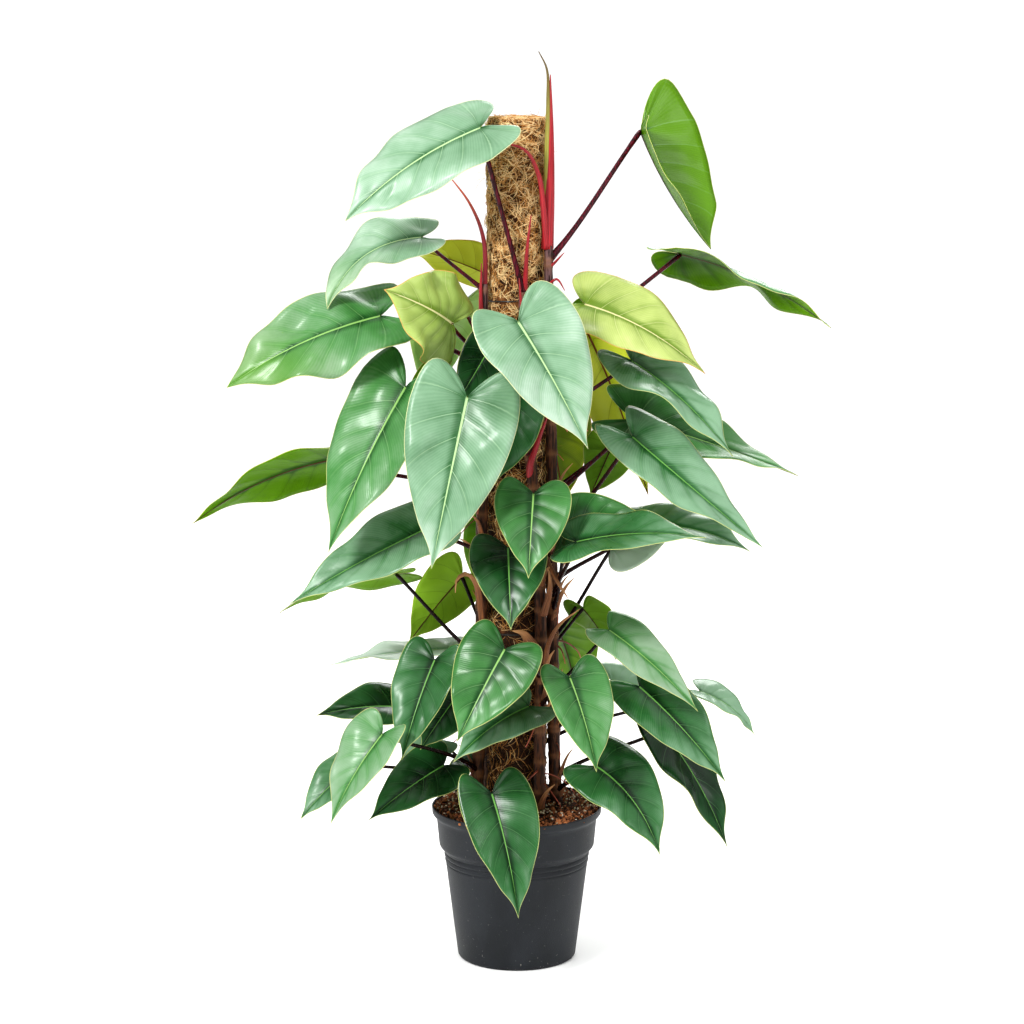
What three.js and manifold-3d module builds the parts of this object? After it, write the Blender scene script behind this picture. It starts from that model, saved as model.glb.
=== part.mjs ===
// A potted red emerald philodendron climbing a coir pole.
// Millimetres, +Z up. The origin is the centre of the pot's underside and the front looks along -Y.
// Every leaf blade is a solid of its own. The leaf stalks and sheaths are part of the stem they grow from.

import * as THREE from "three";
import { mergeVertices } from "three/addons/utils/BufferGeometryUtils.js";
import Module from "manifold-3d";

const wasm = await Module();
wasm.setup();

// Driving dimensions
const GAP = 0.3; // clearance between pieces that touch

const POT_HEIGHT = 218;
const POT_WALL = 2.4;
const POT_FLOOR = 3;
const POT_FOOT_ROUND = 5;
// The pot's outside from its foot to its lip, as [radius, height]
const POT_SIDE = [[83.5, POT_FOOT_ROUND], [102.5, 155], [109, 162], [113, 203], [119, 208], [119.5, POT_HEIGHT]];
const POT_SEGMENTS = 32;
const DRAIN_HOLES = 6;
const DRAIN_RADIUS = 6;
const DRAIN_CIRCLE = 58;
const DRAIN_SIDES = 10;

const SOIL_EDGE_HEIGHT = 212;
const SOIL_HEAP = 13; // rise of the soil from the wall to the pole
const SOIL_LUMP = 3.5;
const SOIL_SIDES = 16;

const POLE_HEIGHT = 1178;
const COIR_RADIUS = 39.5;
const COIR_ROUGHNESS = 1.2;
const COIR_SIDES = 14;
const COIR_RINGS = 13;
const COIR_BEVEL = [4, 5]; // height and depth of the worn top edge
const STAKE_RADIUS = 14;
const STAKE_SIDES = 12;
const COIR_CAP = 14; // coir over the stake's top end
const COIR_HOLE = 2.4; // how much wider the hole in the soil is than the coir
const TIE_WIRE = 0.8; // radius of the wire
const TIE_SIDES = [4, 22]; // round the wire and round the ring
const TIE_HEIGHTS = [472, 933];

const STEM_TO_AXIS = 52.5; // distance of a climbing stem from the pole's axis
const STEM_RADIUS = 8.5;
const STEM_TIP_RADIUS = 6;
const STEM_SIDES = 6;
const STEM_STEP = 48;

const STALK_BASE_RADIUS = 4;
const STALK_END_RADIUS = 2.4;
const STALK_SIDES = 5;
const STALK_STEPS = 4;
const STALK_LEVEL = 0.75; // level share of the direction in which a stalk leaves its stem
const STALK_HANDLES = [0.3, 0.35]; // handles of its curve, in lengths
const STALK_RISE_TO_BLADE = 0.3; // least share of its last direction that meets the blade squarely

const SHOOT_SIDES = 5;
const SHOOT_STEPS = 4;
const SHOOT_TIP_RADIUS = 0.7;
const SPEAR_STEPS = 8;

const BLADE_THICKNESS = 1;
const LOBE_STEPS = 4; // intervals of the outline round a basal lobe
const SIDE_STEPS = 5; // intervals from the widest place to the tip
const SMALL_LOBE_STEPS = 3;
const SMALL_SIDE_STEPS = 4;
const ACROSS_STEPS = 2; // intervals from the midrib to the margin
const LOBE_SHARE = 0.35; // share of the outline's parameter that the lobe takes
const MARGIN_WAVES = 2.3;

// Half of a blade's outline, as two Bezier arcs: x in blade lengths, y in half widths
const LOBE_ARC = [[0, 0], [-0.15, 0.22], [-0.36, 0.9], [0.07, 1]];
const sideArc = (full) => [[0.07, 1], [0.49, 1.05], [0.8, full], [1, 0]];

// Climbing stems: azimuth round the pole (0 at the front, 90 at the right), distance and height
const STEMS = {
  stem_right: [[82, 66, 160], [80, 56, 235], [74, 0, 420], [66, 0, 620], [60, 0, 820], [54, 0, 985], [54, 0, 1008]],
  stem_front: [[30, 68, 160], [32, 57, 235], [40, 0, 420], [30, 0, 620], [14, 0, 800], [10, 0, 948]],
  stem_left: [[-80, 66, 160], [-76, 57, 235], [-72, 0, 420], [-66, 0, 620], [-62, 0, 800], [-60, 0, 956]],
  stem_back_left: [[-140, 66, 160], [-136, 57, 235], [-128, 0, 420], [-134, 0, 640], [-130, 0, 800], [-126, 0, 965]],
  stem_back_right: [[150, 66, 160], [148, 57, 235], [142, 0, 420], [150, 0, 640], [146, 0, 780], [140, 0, 935]],
};

// Leaves: name, stem, height of the stalk's foot, attachment, tip, where the upper side looks
// (azimuth from the front, elevation), width and the shape's own values
const LEAVES = [
  ["leaf_01", "stem_front", 945, [-50, -70, 1168], [-228, -110, 1048], [-20, 56], 136, { arch: 0.07, fold: 4, twist: -28, full: 0.5, rise: 2.7, tone: "mint" }],
  ["leaf_02", "stem_right", 988, [171, 60, 1158], [267, 30, 998], [58, 12], 164, { arch: -0.05, fold: 38, lobe: 0.1, lobes: 1.6, leftLobe: 0.3, full: 0.66, wave: 3.5, tone: "fresh" }],
  ["leaf_03", "stem_right", 850, [226, 40, 991], [429, -20, 895], [180, 68], 124, { arch: 0.06, fold: -12, wave: 10, phase: 0.98, tone: "fresh" }],
  ["leaf_04", "stem_right", 880, [93, -52, 930], [253, -100, 842], [10, 45], 124, { arch: 0.1, lobes: 1.1, tone: "lime" }],
  ["leaf_05", "stem_back_right", 800, [94, 70, 889], [187, 110, 641], [160, 20], 150, { arch: 0.05, tone: "lime" }],
  ["leaf_06", "stem_right", 770, [157, -40, 851], [290, -120, 733], [30, 52], 106, { arch: 0.06, wave: 6, tone: "deep" }],
  ["leaf_07", "stem_right", 660, [166, 0, 764], [385, -40, 694], [20, 42], 112, { arch: 0.02, twist: -32, lobes: 1.3, tone: "fresh" }],
  ["leaf_10", "stem_right", 600, [157, -90, 754], [330, -150, 614], [20, 42], 104, { arch: 0.05, sway: -0.04, wave: 4, tone: "deep" }],
  ["leaf_11", "stem_right", 540, [171, 10, 613], [322, -30, 586], [20, 60], 100, { arch: 0.1, tone: "deep" }],
  ["leaf_12", "stem_right", 520, [81, -165, 625], [250, -205, 638], [10, 62], 100, { arch: 0.06, tone: "deep" }],
  ["leaf_13", "stem_right", 500, [66, -75, 624], [178, -125, 655], [0, 26], 92, { arch: 0.14, tone: "fresh" }],
  ["leaf_14", "stem_back_right", 430, [133, 20, 582], [235, 100, 620], [0, 35], 92, { arch: 0.04, tone: "mint" }],
  ["leaf_15", "stem_front", 800, [2, -170, 919], [93, -220, 759], [16, 22], 148, { arch: 0.05, fold: 18, tone: "mint" }],
  ["leaf_16", "stem_left", 740, [-66, -170, 819], [-113, -220, 599], [0, 20], 150, { arch: 0.04, tone: "mint" }],
  ["leaf_17", "stem_left", 760, [-150, -100, 823], [-252, -160, 609], [-25, 20], 138, { arch: 0.05, wave: 3.5, tone: "fresh" }],
  ["leaf_18", "stem_left", 840, [-186, -60, 915], [-391, -90, 822], [-10, 54], 140, { arch: 0.07, fold: 5, twist: -25, wave: 5, full: 0.5, tone: "fresh" }],
  ["leaf_19", "stem_left", 850, [-88, -115, 913], [-175, -170, 963], [-8, 24], 128, { arch: 0.12, fold: -6, lobes: 1.7, full: 0.36, tone: "lime" }],
  ["leaf_20", "stem_front", 600, [22, -150, 686], [15, -210, 584], [0, 35], 105, { arch: 0.05, tone: "fresh" }],
  ["leaf_21", "stem_front", 540, [-12, -120, 607], [-8, -190, 510], [0, 35], 108, { arch: 0.06, tone: "deep" }],
  ["leaf_22", "stem_front", 720, [-2, -88, 812], [-30, -104, 692], [20, 15], 92, { arch: 0.05, tone: "deep" }],
  ["leaf_24", "stem_left", 580, [-125, -80, 626], [-307, -130, 533], [-10, 45], 102, { arch: 0.03, wave: 4, tone: "deep" }],
  ["leaf_25", "stem_left", 430, [-167, -20, 554], [-331, -20, 496], [180, 68], 92, { arch: 0.09, fold: -5, tone: "deep" }],
  ["leaf_26", "stem_back_left", 460, [-77, 60, 533], [-155, 90, 429], [175, 30], 92, { arch: 0.05, tone: "fresh" }],
  ["leaf_27", "stem_back_left", 640, [-261, 10, 708], [-451, 10, 618], [180, 54], 112, { arch: 0.07, fold: -5, wave: 5, tone: "fresh" }],
  ["leaf_28", "stem_left", 370, [-97, 40, 432], [-261, 0, 419], [-10, 84], 90, { arch: 0.03, tone: "mint" }],
  ["leaf_29", "stem_left", 320, [-167, 20, 354], [-280, -20, 351], [0, 55], 84, { arch: 0.06, tone: "deep" }],
  ["leaf_30", "stem_left", 350, [-112, -110, 450], [-155, -170, 327], [-22, 20], 96, { arch: 0.05, fold: 18, tone: "deep" }],
  ["leaf_31", "stem_left", 270, [-182, -166, 360], [-250, -200, 246], [-38, 28], 98, { arch: 0.06, fold: 20, tone: "fresh" }],
  ["leaf_32", "stem_left", 250, [-219, -80, 299], [-297, -120, 229], [-20, 50], 74, { arch: 0.06, tone: "deep" }],
  ["leaf_33", "stem_left", 235, [-102, -70, 292], [-203, -115, 227], [-10, 40], 88, { arch: 0.06, tone: "deep" }],
  ["leaf_35", "stem_front", 410, [-17, -160, 476], [-80, -210, 362], [0, 35], 115, { arch: 0.05, tone: "fresh" }],
  ["leaf_36", "stem_front", 340, [15, -100, 383], [-86, -170, 323], [0, 55], 90, { arch: 0.1, tone: "deep" }],
  ["leaf_37", "stem_front", 370, [72, -140, 432], [107, -190, 315], [22, 28], 102, { arch: 0.06, fold: 18, tone: "fresh" }],
  ["leaf_38", "stem_front", 225, [-34, -130, 267], [2, -190, 111], [18, 15], 112, { arch: 0.08, fold: 20, tone: "deep" }],
  ["leaf_39", "stem_right", 240, [111, -80, 293], [195, -150, 188], [10, 45], 110, { arch: 0.1, sway: 0.05, tone: "deep" }],
  ["leaf_40", "stem_right", 330, [170, -60, 401], [286, -115, 281], [20, 35], 104, { arch: 0.06, tone: "deep" }],
  ["leaf_41", "stem_right", 390, [128, -55, 480], [246, -130, 384], [15, 45], 76, { arch: 0.06, lobes: 0.7, tone: "fresh" }],
  ["leaf_44", "stem_right", 260, [204, -20, 330], [293, -60, 173], [40, 30], 98, { arch: 0.06, tone: "deep" }],
  ["leaf_46", "stem_left", 948, [-131, -20, 1018], [-256, -60, 925], [-20, 60], 92, { arch: 0.13, sway: -0.1, full: 0.6, wave: 7, tone: "mint" }],
  ["leaf_47", "stem_back_left", 915, [-44, 62, 962], [-157, 40, 1000], [180, 40], 84, { arch: 0.05, tone: "lime" }],
  ["leaf_51", "stem_back_left", 850, [-78, 132, 912], [-130, 215, 762], [205, 35], 124, { tone: "mint" }],
  ["leaf_52", "stem_back_left", 790, [72, 176, 885], [145, 250, 735], [150, 35], 130, { rise: 0.3, tone: "fresh" }],
  ["leaf_53", "stem_back_left", 720, [-95, 140, 800], [-140, 225, 625], [212, 30], 132, { tone: "fresh" }],
  ["leaf_54", "stem_back_right", 680, [45, 152, 748], [70, 230, 600], [175, 30], 118, { tone: "lime" }],
  ["leaf_56", "stem_back_left", 480, [-20, 150, 590], [-40, 240, 440], [190, 30], 108, { tone: "fresh" }],
  ["leaf_57", "stem_back_right", 350, [60, 140, 440], [90, 230, 310], [160, 35], 104, { tone: "deep" }],
  ["leaf_58", "stem_back_left", 300, [-60, 130, 400], [-110, 215, 270], [200, 35], 104, { tone: "deep" }],
];

// Small leaves, which stay one piece with the stem they grow from
const SMALL_LEAVES = [
  ["small_23", "stem_left", 800, [-36, -72, 876], [-83, -95, 800], [20, 20], 70, {}],
  ["small_34", "stem_left", 300, [-85, -62, 386], [-133, -90, 320], [0, 30], 76, {}],
  ["small_35", "stem_left", 265, [-105, -30, 318], [-167, -60, 290], [-10, 40], 56, {}],
  ["small_42", "stem_back_right", 420, [93, 20, 496], [140, 40, 417], [150, 30], 72, { arch: 0.05 }],
  ["small_43", "stem_back_right", 290, [260, 30, 373], [336, 20, 313], [30, 78], 74, { arch: 0.1 }],
  ["small_45", "stem_back_right", 320, [134, 40, 388], [205, 70, 360], [10, 55], 66, {}],
  ["small_49", "stem_back_right", 640, [133, 50, 721], [103, 75, 645], [160, 30], 76, {}],
  ["small_50", "stem_back_left", 235, [-55, 62, 262], [-104, 60, 248], [0, 60], 46, {}],
];

// Sheaths, dry scales and air roots: stem, radius at the foot, and the route of each
const SHOOTS = [
  ["stem_left", 4, [[-45, -27, 945], [-46, -32, 1016], [-63, -42, 1064], [-94, -52, 1108]]],
  ["stem_front", 4.5, [[10, -52, 935], [14, -58, 1005], [19, -60, 1052]]],
  ["stem_right", 2, [[40, -33, 940], [46, -42, 958], [55, -46, 964], [65, -48, 949]]],
  ["stem_right", 2, [[42, -31, 975], [53, -38, 987], [64, -42, 1000]]],
  ["stem_left", 6, [[-49, -20, 485], [-52, -46, 520], [-58, -60, 550], [-70, -66, 562], [-82, -66, 555]]],
  ["stem_left", 4, [[-49, -22, 605], [-54, -48, 632], [-62, -62, 642], [-70, -66, 636]]],
  ["stem_front", 5, [[30, -44, 440], [18, -62, 465], [8, -70, 480], [-6, -74, 484]]],
  ["stem_front", 1.3, [[26, -46, 690], [44, -62, 716], [56, -66, 720], [60, -64, 704]]],
];

// The rolled new leaf on the right stem, with its red sheaths, as routes with foot radii
const SPEAR = [
  [6, [[42, -31, 1008.5], [43, -32, 1137], [43, -32, 1204], [41, -32, 1246], [29, -34, 1269]]],
  [6, [[45, -31, 1008.5], [47, -33, 1090], [47, -33, 1165], [45, -32, 1238]]],
  [4.5, [[42, -34, 1009.6], [37, -44, 1060], [30, -54, 1105], [12, -60, 1138], [-12, -61, 1147], [-33, -60, 1148]]],
];

// Vectors and curves
const vector = (point) => new THREE.Vector3(...point);
const radians = THREE.MathUtils.degToRad;

function around(azimuth, radius, height) {
  const angle = radians(azimuth);
  return new THREE.Vector3(radius * Math.sin(angle), -radius * Math.cos(angle), height);
}

function direction(azimuth, elevation) {
  const level = Math.cos(radians(elevation));
  return around(azimuth, level, Math.sin(radians(elevation)));
}

// Solids
function meshGeometry(points, faces) {
  const geometry = new THREE.BufferGeometry();
  geometry.setAttribute("position", new THREE.Float32BufferAttribute(points.flatMap((p) => p.toArray()), 3));
  geometry.setIndex(faces.flat());
  return geometry;
}

function toSolid(geometry) {
  const plain = geometry.clone();
  plain.deleteAttribute("normal");
  plain.deleteAttribute("uv");
  const merged = mergeVertices(plain, 1e-4);
  return new wasm.Manifold(new wasm.Mesh({
    numProp: 3,
    vertProperties: Float32Array.from(merged.attributes.position.array),
    triVerts: Uint32Array.from(merged.index.array),
  }));
}

function toGeometry(solid) {
  const mesh = solid.getMesh();
  const geometry = new THREE.BufferGeometry();
  geometry.setAttribute("position", new THREE.Float32BufferAttribute(mesh.vertProperties, 3));
  geometry.setIndex(Array.from(mesh.triVerts));
  return geometry;
}

// A closed tube of changing radius along a list of points, with flat ends
function tube(points, radii, sides) {
  const vertices = [];
  const faces = [];
  const tangents = points.map((point, i) => {
    const before = points[Math.max(i - 1, 0)];
    const after = points[Math.min(i + 1, points.length - 1)];
    return after.clone().sub(before).normalize();
  });
  const start = Math.abs(tangents[0].z) < 0.9 ? new THREE.Vector3(0, 0, 1) : new THREE.Vector3(1, 0, 0);
  let across = start.sub(tangents[0].clone().multiplyScalar(start.dot(tangents[0]))).normalize();
  points.forEach((point, i) => {
    across = across.clone().sub(tangents[i].clone().multiplyScalar(across.dot(tangents[i]))).normalize();
    const other = new THREE.Vector3().crossVectors(tangents[i], across);
    for (let k = 0; k < sides; k += 1) {
      const angle = (2 * Math.PI * k) / sides;
      vertices.push(point.clone()
        .addScaledVector(across, radii[i] * Math.cos(angle))
        .addScaledVector(other, radii[i] * Math.sin(angle)));
    }
  });
  for (let i = 0; i + 1 < points.length; i += 1) {
    for (let k = 0; k < sides; k += 1) {
      const next = (k + 1) % sides;
      const a = i * sides + k;
      const b = i * sides + next;
      faces.push([a, b, b + sides], [a, b + sides, a + sides]);
    }
  }
  const last = (points.length - 1) * sides;
  for (let k = 1; k + 1 < sides; k += 1) {
    faces.push([0, k + 1, k], [last, last + k, last + k + 1]);
  }
  return meshGeometry(vertices, faces);
}

const spread = (from, to, steps, bend = 1) =>
  Array.from({ length: steps + 1 }, (_, i) => from + (to - from) * (i / steps) ** bend);

// Repeatable small unevenness, between -1 and 1
function uneven(...seeds) {
  const mixed = seeds.reduce((sum, seed, i) => sum + seed * (12.9898 + 65.13 * i), 0.7);
  const wide = Math.sin(mixed) * 43758.5453;
  return 2 * (wide - Math.floor(wide)) - 1;
}

// The pot: a turned shell with drain holes round the middle of its floor
function turned(outline, segments) {
  const points = outline.map(([radius, height]) => new THREE.Vector2(radius, height));
  return new THREE.LatheGeometry(points, segments).rotateX(Math.PI / 2);
}

const potInside = (clearance) => POT_SIDE.map(([radius, height]) => [radius - POT_WALL - clearance, height]);

function pot() {
  const inside = potInside(0).toReversed();
  const floorRadius = inside.at(-1)[0];
  const outline = [
    [0, 0],
    [POT_SIDE[0][0] - POT_FOOT_ROUND, 0],
    [POT_SIDE[0][0] - POT_FOOT_ROUND * 0.3, POT_FOOT_ROUND * 0.3],
    ...POT_SIDE,
    ...inside.slice(0, -1),
    [floorRadius, POT_FLOOR],
    [0, POT_FLOOR],
  ];
  let shell = toSolid(turned(outline, POT_SEGMENTS));
  for (let i = 0; i < DRAIN_HOLES; i += 1) {
    const place = around((360 * (i + 0.5)) / DRAIN_HOLES, DRAIN_CIRCLE, POT_FLOOR / 2);
    const drill = new THREE.CylinderGeometry(DRAIN_RADIUS, DRAIN_RADIUS, 4 * POT_FLOOR, DRAIN_SIDES);
    shell = shell.subtract(toSolid(drill.rotateX(Math.PI / 2).translate(place.x, place.y, place.z)));
  }
  return toGeometry(shell);
}

// The coir sleeve: an uneven cylinder with a closed top and a blind bore for the stake
function coirSleeve() {
  const vertices = [];
  const faces = [];
  const foot = POT_FLOOR + GAP;
  const heights = spread(foot, POLE_HEIGHT - COIR_BEVEL[0], COIR_RINGS - 1);
  heights.push(POLE_HEIGHT);
  heights.forEach((height, i) => {
    const shrink = i === heights.length - 1 ? COIR_BEVEL[1] : 0;
    for (let k = 0; k < COIR_SIDES; k += 1) {
      const radius = COIR_RADIUS - shrink + COIR_ROUGHNESS * uneven(i, k);
      vertices.push(around((-360 * k) / COIR_SIDES, radius, height));
    }
  });
  const last = (heights.length - 1) * COIR_SIDES;
  vertices.push(new THREE.Vector3(0, 0, foot), new THREE.Vector3(0, 0, POLE_HEIGHT + 1));
  const [bottom, top] = [vertices.length - 2, vertices.length - 1];
  for (let k = 0; k < COIR_SIDES; k += 1) {
    const next = (k + 1) % COIR_SIDES;
    for (let i = 0; i + 1 < heights.length; i += 1) {
      const a = i * COIR_SIDES + k;
      const b = i * COIR_SIDES + next;
      faces.push([a, b + COIR_SIDES, b], [a, a + COIR_SIDES, b + COIR_SIDES]);
    }
    faces.push([bottom, k, next], [top, last + next, last + k]);
  }
  const bore = stakeShape(STAKE_RADIUS + GAP, foot - 5, POLE_HEIGHT - COIR_CAP);
  return toGeometry(toSolid(meshGeometry(vertices, faces)).subtract(toSolid(bore)));
}

function stakeShape(radius, low, high) {
  const shaft = new THREE.CylinderGeometry(radius, radius, high - low, STAKE_SIDES);
  return shaft.rotateX(Math.PI / 2).translate(0, 0, (low + high) / 2);
}

// A wire tie: a thin closed ring round the coir
function wireTie(height) {
  const ring = new THREE.TorusGeometry(COIR_RADIUS + COIR_ROUGHNESS + TIE_WIRE + GAP / 2, TIE_WIRE, ...TIE_SIDES);
  return ring.translate(0, 0, height);
}

// Climbing stems
function stemCurve(name) {
  const points = STEMS[name].map(([azimuth, radius, height]) =>
    around(azimuth, radius || STEM_TO_AXIS, height));
  return new THREE.CatmullRomCurve3(points, false, "centripetal");
}

function stemTube(name, extra = 0) {
  const curve = stemCurve(name);
  const steps = Math.round(curve.getLength() / STEM_STEP);
  const points = curve.getSpacedPoints(steps);
  if (extra > 0) {
    points[0].z -= extra;
  }
  const radii = spread(STEM_RADIUS + extra, STEM_TIP_RADIUS + extra, steps, 3);
  return tube(points, radii, STEM_SIDES);
}

// The point of a stem's centre line at a given height
function stemPoint(name, height) {
  const curve = stemCurve(name);
  let low = 0;
  let high = 1;
  for (let i = 0; i < 24; i += 1) {
    const middle = (low + high) / 2;
    if (curve.getPoint(middle).z < height) low = middle;
    else high = middle;
  }
  return curve.getPoint(low);
}

// Leaf blades
function bezier(arc, t) {
  const u = 1 - t;
  const weights = [u * u * u, 3 * u * u * t, 3 * u * t * t, t * t * t];
  return [0, 1].map((axis) => arc.reduce((sum, point, i) => sum + weights[i] * point[axis], 0));
}

// A point of the half blade: t runs round the outline from the sinus to the tip, s from midrib to margin
function bladePoint(t, s, full) {
  if (t <= LOBE_SHARE) {
    const [x, y] = bezier(LOBE_ARC, t / LOBE_SHARE);
    return [x * s, y * s];
  }
  const part = (t - LOBE_SHARE) / (1 - LOBE_SHARE);
  const [x, y] = bezier(sideArc(full), part);
  const rib = x - y * (0.07 + 0.45 * part);
  return [rib + (x - rib) * s, y * s];
}

// The blade's own axes and a function that bends its flat plan into space
function bladeForm(leaf) {
  const { attach, tip, face, width, arch, fold, curl, twist, sway, lobe, lobes, leftLobe } = leaf;
  const base = vector(attach);
  const length = base.distanceTo(vector(tip));
  const along = vector(tip).sub(base).normalize();
  const look = direction(...face);
  const up = look.addScaledVector(along, -look.dot(along)).normalize();
  const side = new THREE.Vector3().crossVectors(up, along);
  const foldAngle = radians(fold);

  function axesAt(x) {
    const slope = 4 * (1 - 2 * Math.max(x, 0));
    const tangent = along.clone().addScaledVector(up, arch * slope).addScaledVector(side, sway * slope).normalize();
    const across = new THREE.Vector3().crossVectors(up, tangent).normalize();
    const normal = new THREE.Vector3().crossVectors(tangent, across);
    const turn = radians(twist) * Math.max(x, 0);
    return {
      tangent,
      across: across.clone().multiplyScalar(Math.cos(turn)).addScaledVector(normal, Math.sin(turn)),
      normal: normal.clone().multiplyScalar(Math.cos(turn)).addScaledVector(across, -Math.sin(turn)),
    };
  }

  function place(x, y, lift) {
    const { tangent, across, normal } = axesAt(x);
    const bow = 4 * Math.max(x, 0) * (1 - Math.max(x, 0));
    const point = base.clone();
    if (x < 0) {
      point.addScaledVector(tangent, length * lobes * (y < 0 ? leftLobe : 1) * x);
      point.addScaledVector(normal, length * lobe * (x / 0.25) ** 2);
    } else {
      point.addScaledVector(along, length * x);
      point.addScaledVector(up, length * arch * bow);
      point.addScaledVector(side, length * sway * bow);
    }
    const reach = (y * width) / 2;
    point.addScaledVector(across, reach * Math.cos(foldAngle));
    const rise = Math.abs(reach) * Math.sin(foldAngle) + curl * (width / 2) * y * y + lift;
    return point.addScaledVector(normal, rise);
  }
  return { place, normal: axesAt(0).normal };
}

function blade(leaf) {
  const { place } = bladeForm(leaf);
  const lobeSteps = leaf.joined ? SMALL_LOBE_STEPS : LOBE_STEPS;
  const sideSteps = leaf.joined ? SMALL_SIDE_STEPS : SIDE_STEPS;
  const rows = lobeSteps + sideSteps;
  const points = [];
  const ids = new Map();

  function vertex(half, row, column) {
    const onRib = column === 0 || row === 0 || row === rows;
    const atBase = row === 0 || (onRib && row <= lobeSteps);
    const key = atBase ? "base" : onRib ? `rib ${row}` : `${half} ${row} ${column}`;
    if (!ids.has(key)) {
      const t = row <= lobeSteps
        ? (LOBE_SHARE * row) / lobeSteps
        : LOBE_SHARE + ((1 - LOBE_SHARE) * (row - lobeSteps)) / sideSteps;
      const s = atBase ? 0 : column / ACROSS_STEPS;
      const [x, y] = bladePoint(t, s, leaf.full);
      const phase = leaf.phase + (half > 0 ? 0 : 0.37);
      const swell = leaf.wave * s * s * 4 * t * (1 - t);
      ids.set(key, points.length);
      points.push(place(x, half * y, swell * Math.sin(2 * Math.PI * (MARGIN_WAVES * t + phase))));
    }
    return ids.get(key);
  }

  const upper = [];
  const edges = [];
  for (const half of [1, -1]) {
    const turned = (corners) => (half > 0 ? corners : corners.toReversed());
    for (let row = 0; row < rows; row += 1) {
      for (let column = 0; column < ACROSS_STEPS; column += 1) {
        const a = vertex(half, row, column);
        const b = vertex(half, row + 1, column);
        const c = vertex(half, row + 1, column + 1);
        const d = vertex(half, row, column + 1);
        upper.push(turned([a, b, c]), turned([a, c, d]));
      }
      edges.push(turned([vertex(half, row, ACROSS_STEPS), vertex(half, row + 1, ACROSS_STEPS)]));
    }
  }
  const kept = upper.filter(([a, b, c]) => a !== b && b !== c && a !== c);

  const normals = points.map(() => new THREE.Vector3());
  for (const [a, b, c] of kept) {
    const one = points[b].clone().sub(points[a]);
    const two = points[c].clone().sub(points[a]);
    const facing = new THREE.Vector3().crossVectors(one, two);
    for (const corner of [a, b, c]) normals[corner].add(facing);
  }
  const offset = (amount) => points.map((point, i) =>
    point.clone().addScaledVector(normals[i].normalize(), amount));
  const count = points.length;
  const faces = [
    ...kept,
    ...kept.map(([a, b, c]) => [a + count, c + count, b + count]),
    ...edges.flatMap(([a, b]) => [[a, b, b + count], [a, b + count, a + count]]),
  ];
  return meshGeometry([...offset(BLADE_THICKNESS / 2), ...offset(-BLADE_THICKNESS / 2)], faces);
}

// A leaf stalk: from inside its stem to just under the blade, or into the blade of a small leaf
function stalk(leaf) {
  const { normal } = bladeForm(leaf);
  const foot = stemPoint(leaf.stem, leaf.foot);
  const attach = vector(leaf.attach);
  const arrive = attach.clone().sub(foot).normalize();
  arrive.addScaledVector(normal, Math.max(0, STALK_RISE_TO_BLADE - arrive.dot(normal))).normalize();
  const lean = Math.sqrt(Math.max(0, 1 - arrive.dot(normal) ** 2));
  const droop = Math.tan(radians(Math.max(0, -leaf.fold)));
  const drop = leaf.joined ? 0 : BLADE_THICKNESS / 2 + GAP + STALK_END_RADIUS * (lean + droop);
  const end = attach.clone().addScaledVector(normal, -drop);
  const reach = end.distanceTo(foot);
  const level = new THREE.Vector3(end.x - foot.x, end.y - foot.y, 0).normalize();
  const leave = level.multiplyScalar(STALK_LEVEL).add(new THREE.Vector3(0, 0, leaf.rise)).normalize();
  const curve = new THREE.CubicBezierCurve3(
    foot,
    foot.clone().addScaledVector(leave, STALK_HANDLES[0] * reach),
    end.clone().addScaledVector(arrive, -STALK_HANDLES[1] * reach),
    end,
  );
  return tube(curve.getPoints(STALK_STEPS), spread(STALK_BASE_RADIUS, STALK_END_RADIUS, STALK_STEPS, 0.5), STALK_SIDES);
}

// A tapering sheath, scale or root along its route
function shoot(radius, route, steps = SHOOT_STEPS) {
  const curve = new THREE.CatmullRomCurve3(route.map(vector), false, "centripetal");
  return tube(curve.getSpacedPoints(steps), spread(radius, SHOOT_TIP_RADIUS, steps, 1.6), SHOOT_SIDES);
}

const LEAF_SHAPE = {
  arch: 0.06, fold: 12, curl: -0.06, twist: 0, sway: 0, lobe: 0.03, lobes: 1, leftLobe: 1, full: 0.24,
  wave: 2.5, rise: 0.6, tone: "deep",
};

function readLeaf([name, stem, foot, attach, tip, face, width, shape], i) {
  return { ...LEAF_SHAPE, phase: (i * 0.31) % 1, ...shape, name, stem, foot, attach, tip, face, width };
}

const leaves = LEAVES.map(readLeaf);
const smallLeaves = SMALL_LEAVES.map(readLeaf).map((leaf) => ({ ...leaf, joined: true }));

function stem(name) {
  const small = smallLeaves.filter((leaf) => leaf.stem === name);
  const grown = leaves.filter((leaf) => leaf.stem === name);
  const shoots = SHOOTS.filter(([owner]) => owner === name).map(([, radius, route]) => shoot(radius, route));
  const parts = [stemTube(name), ...[...grown, ...small].map(stalk), ...small.map(blade), ...shoots].map(toSolid);
  return toGeometry(parts.reduce((sum, part) => sum.add(part)));
}

// The rolled new leaf and the sheaths that wrap its foot
function spear() {
  const parts = SPEAR.map(([radius, route]) => toSolid(shoot(radius, route, SPEAR_STEPS)));
  return toGeometry(parts.reduce((sum, part) => sum.add(part)));
}

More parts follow.
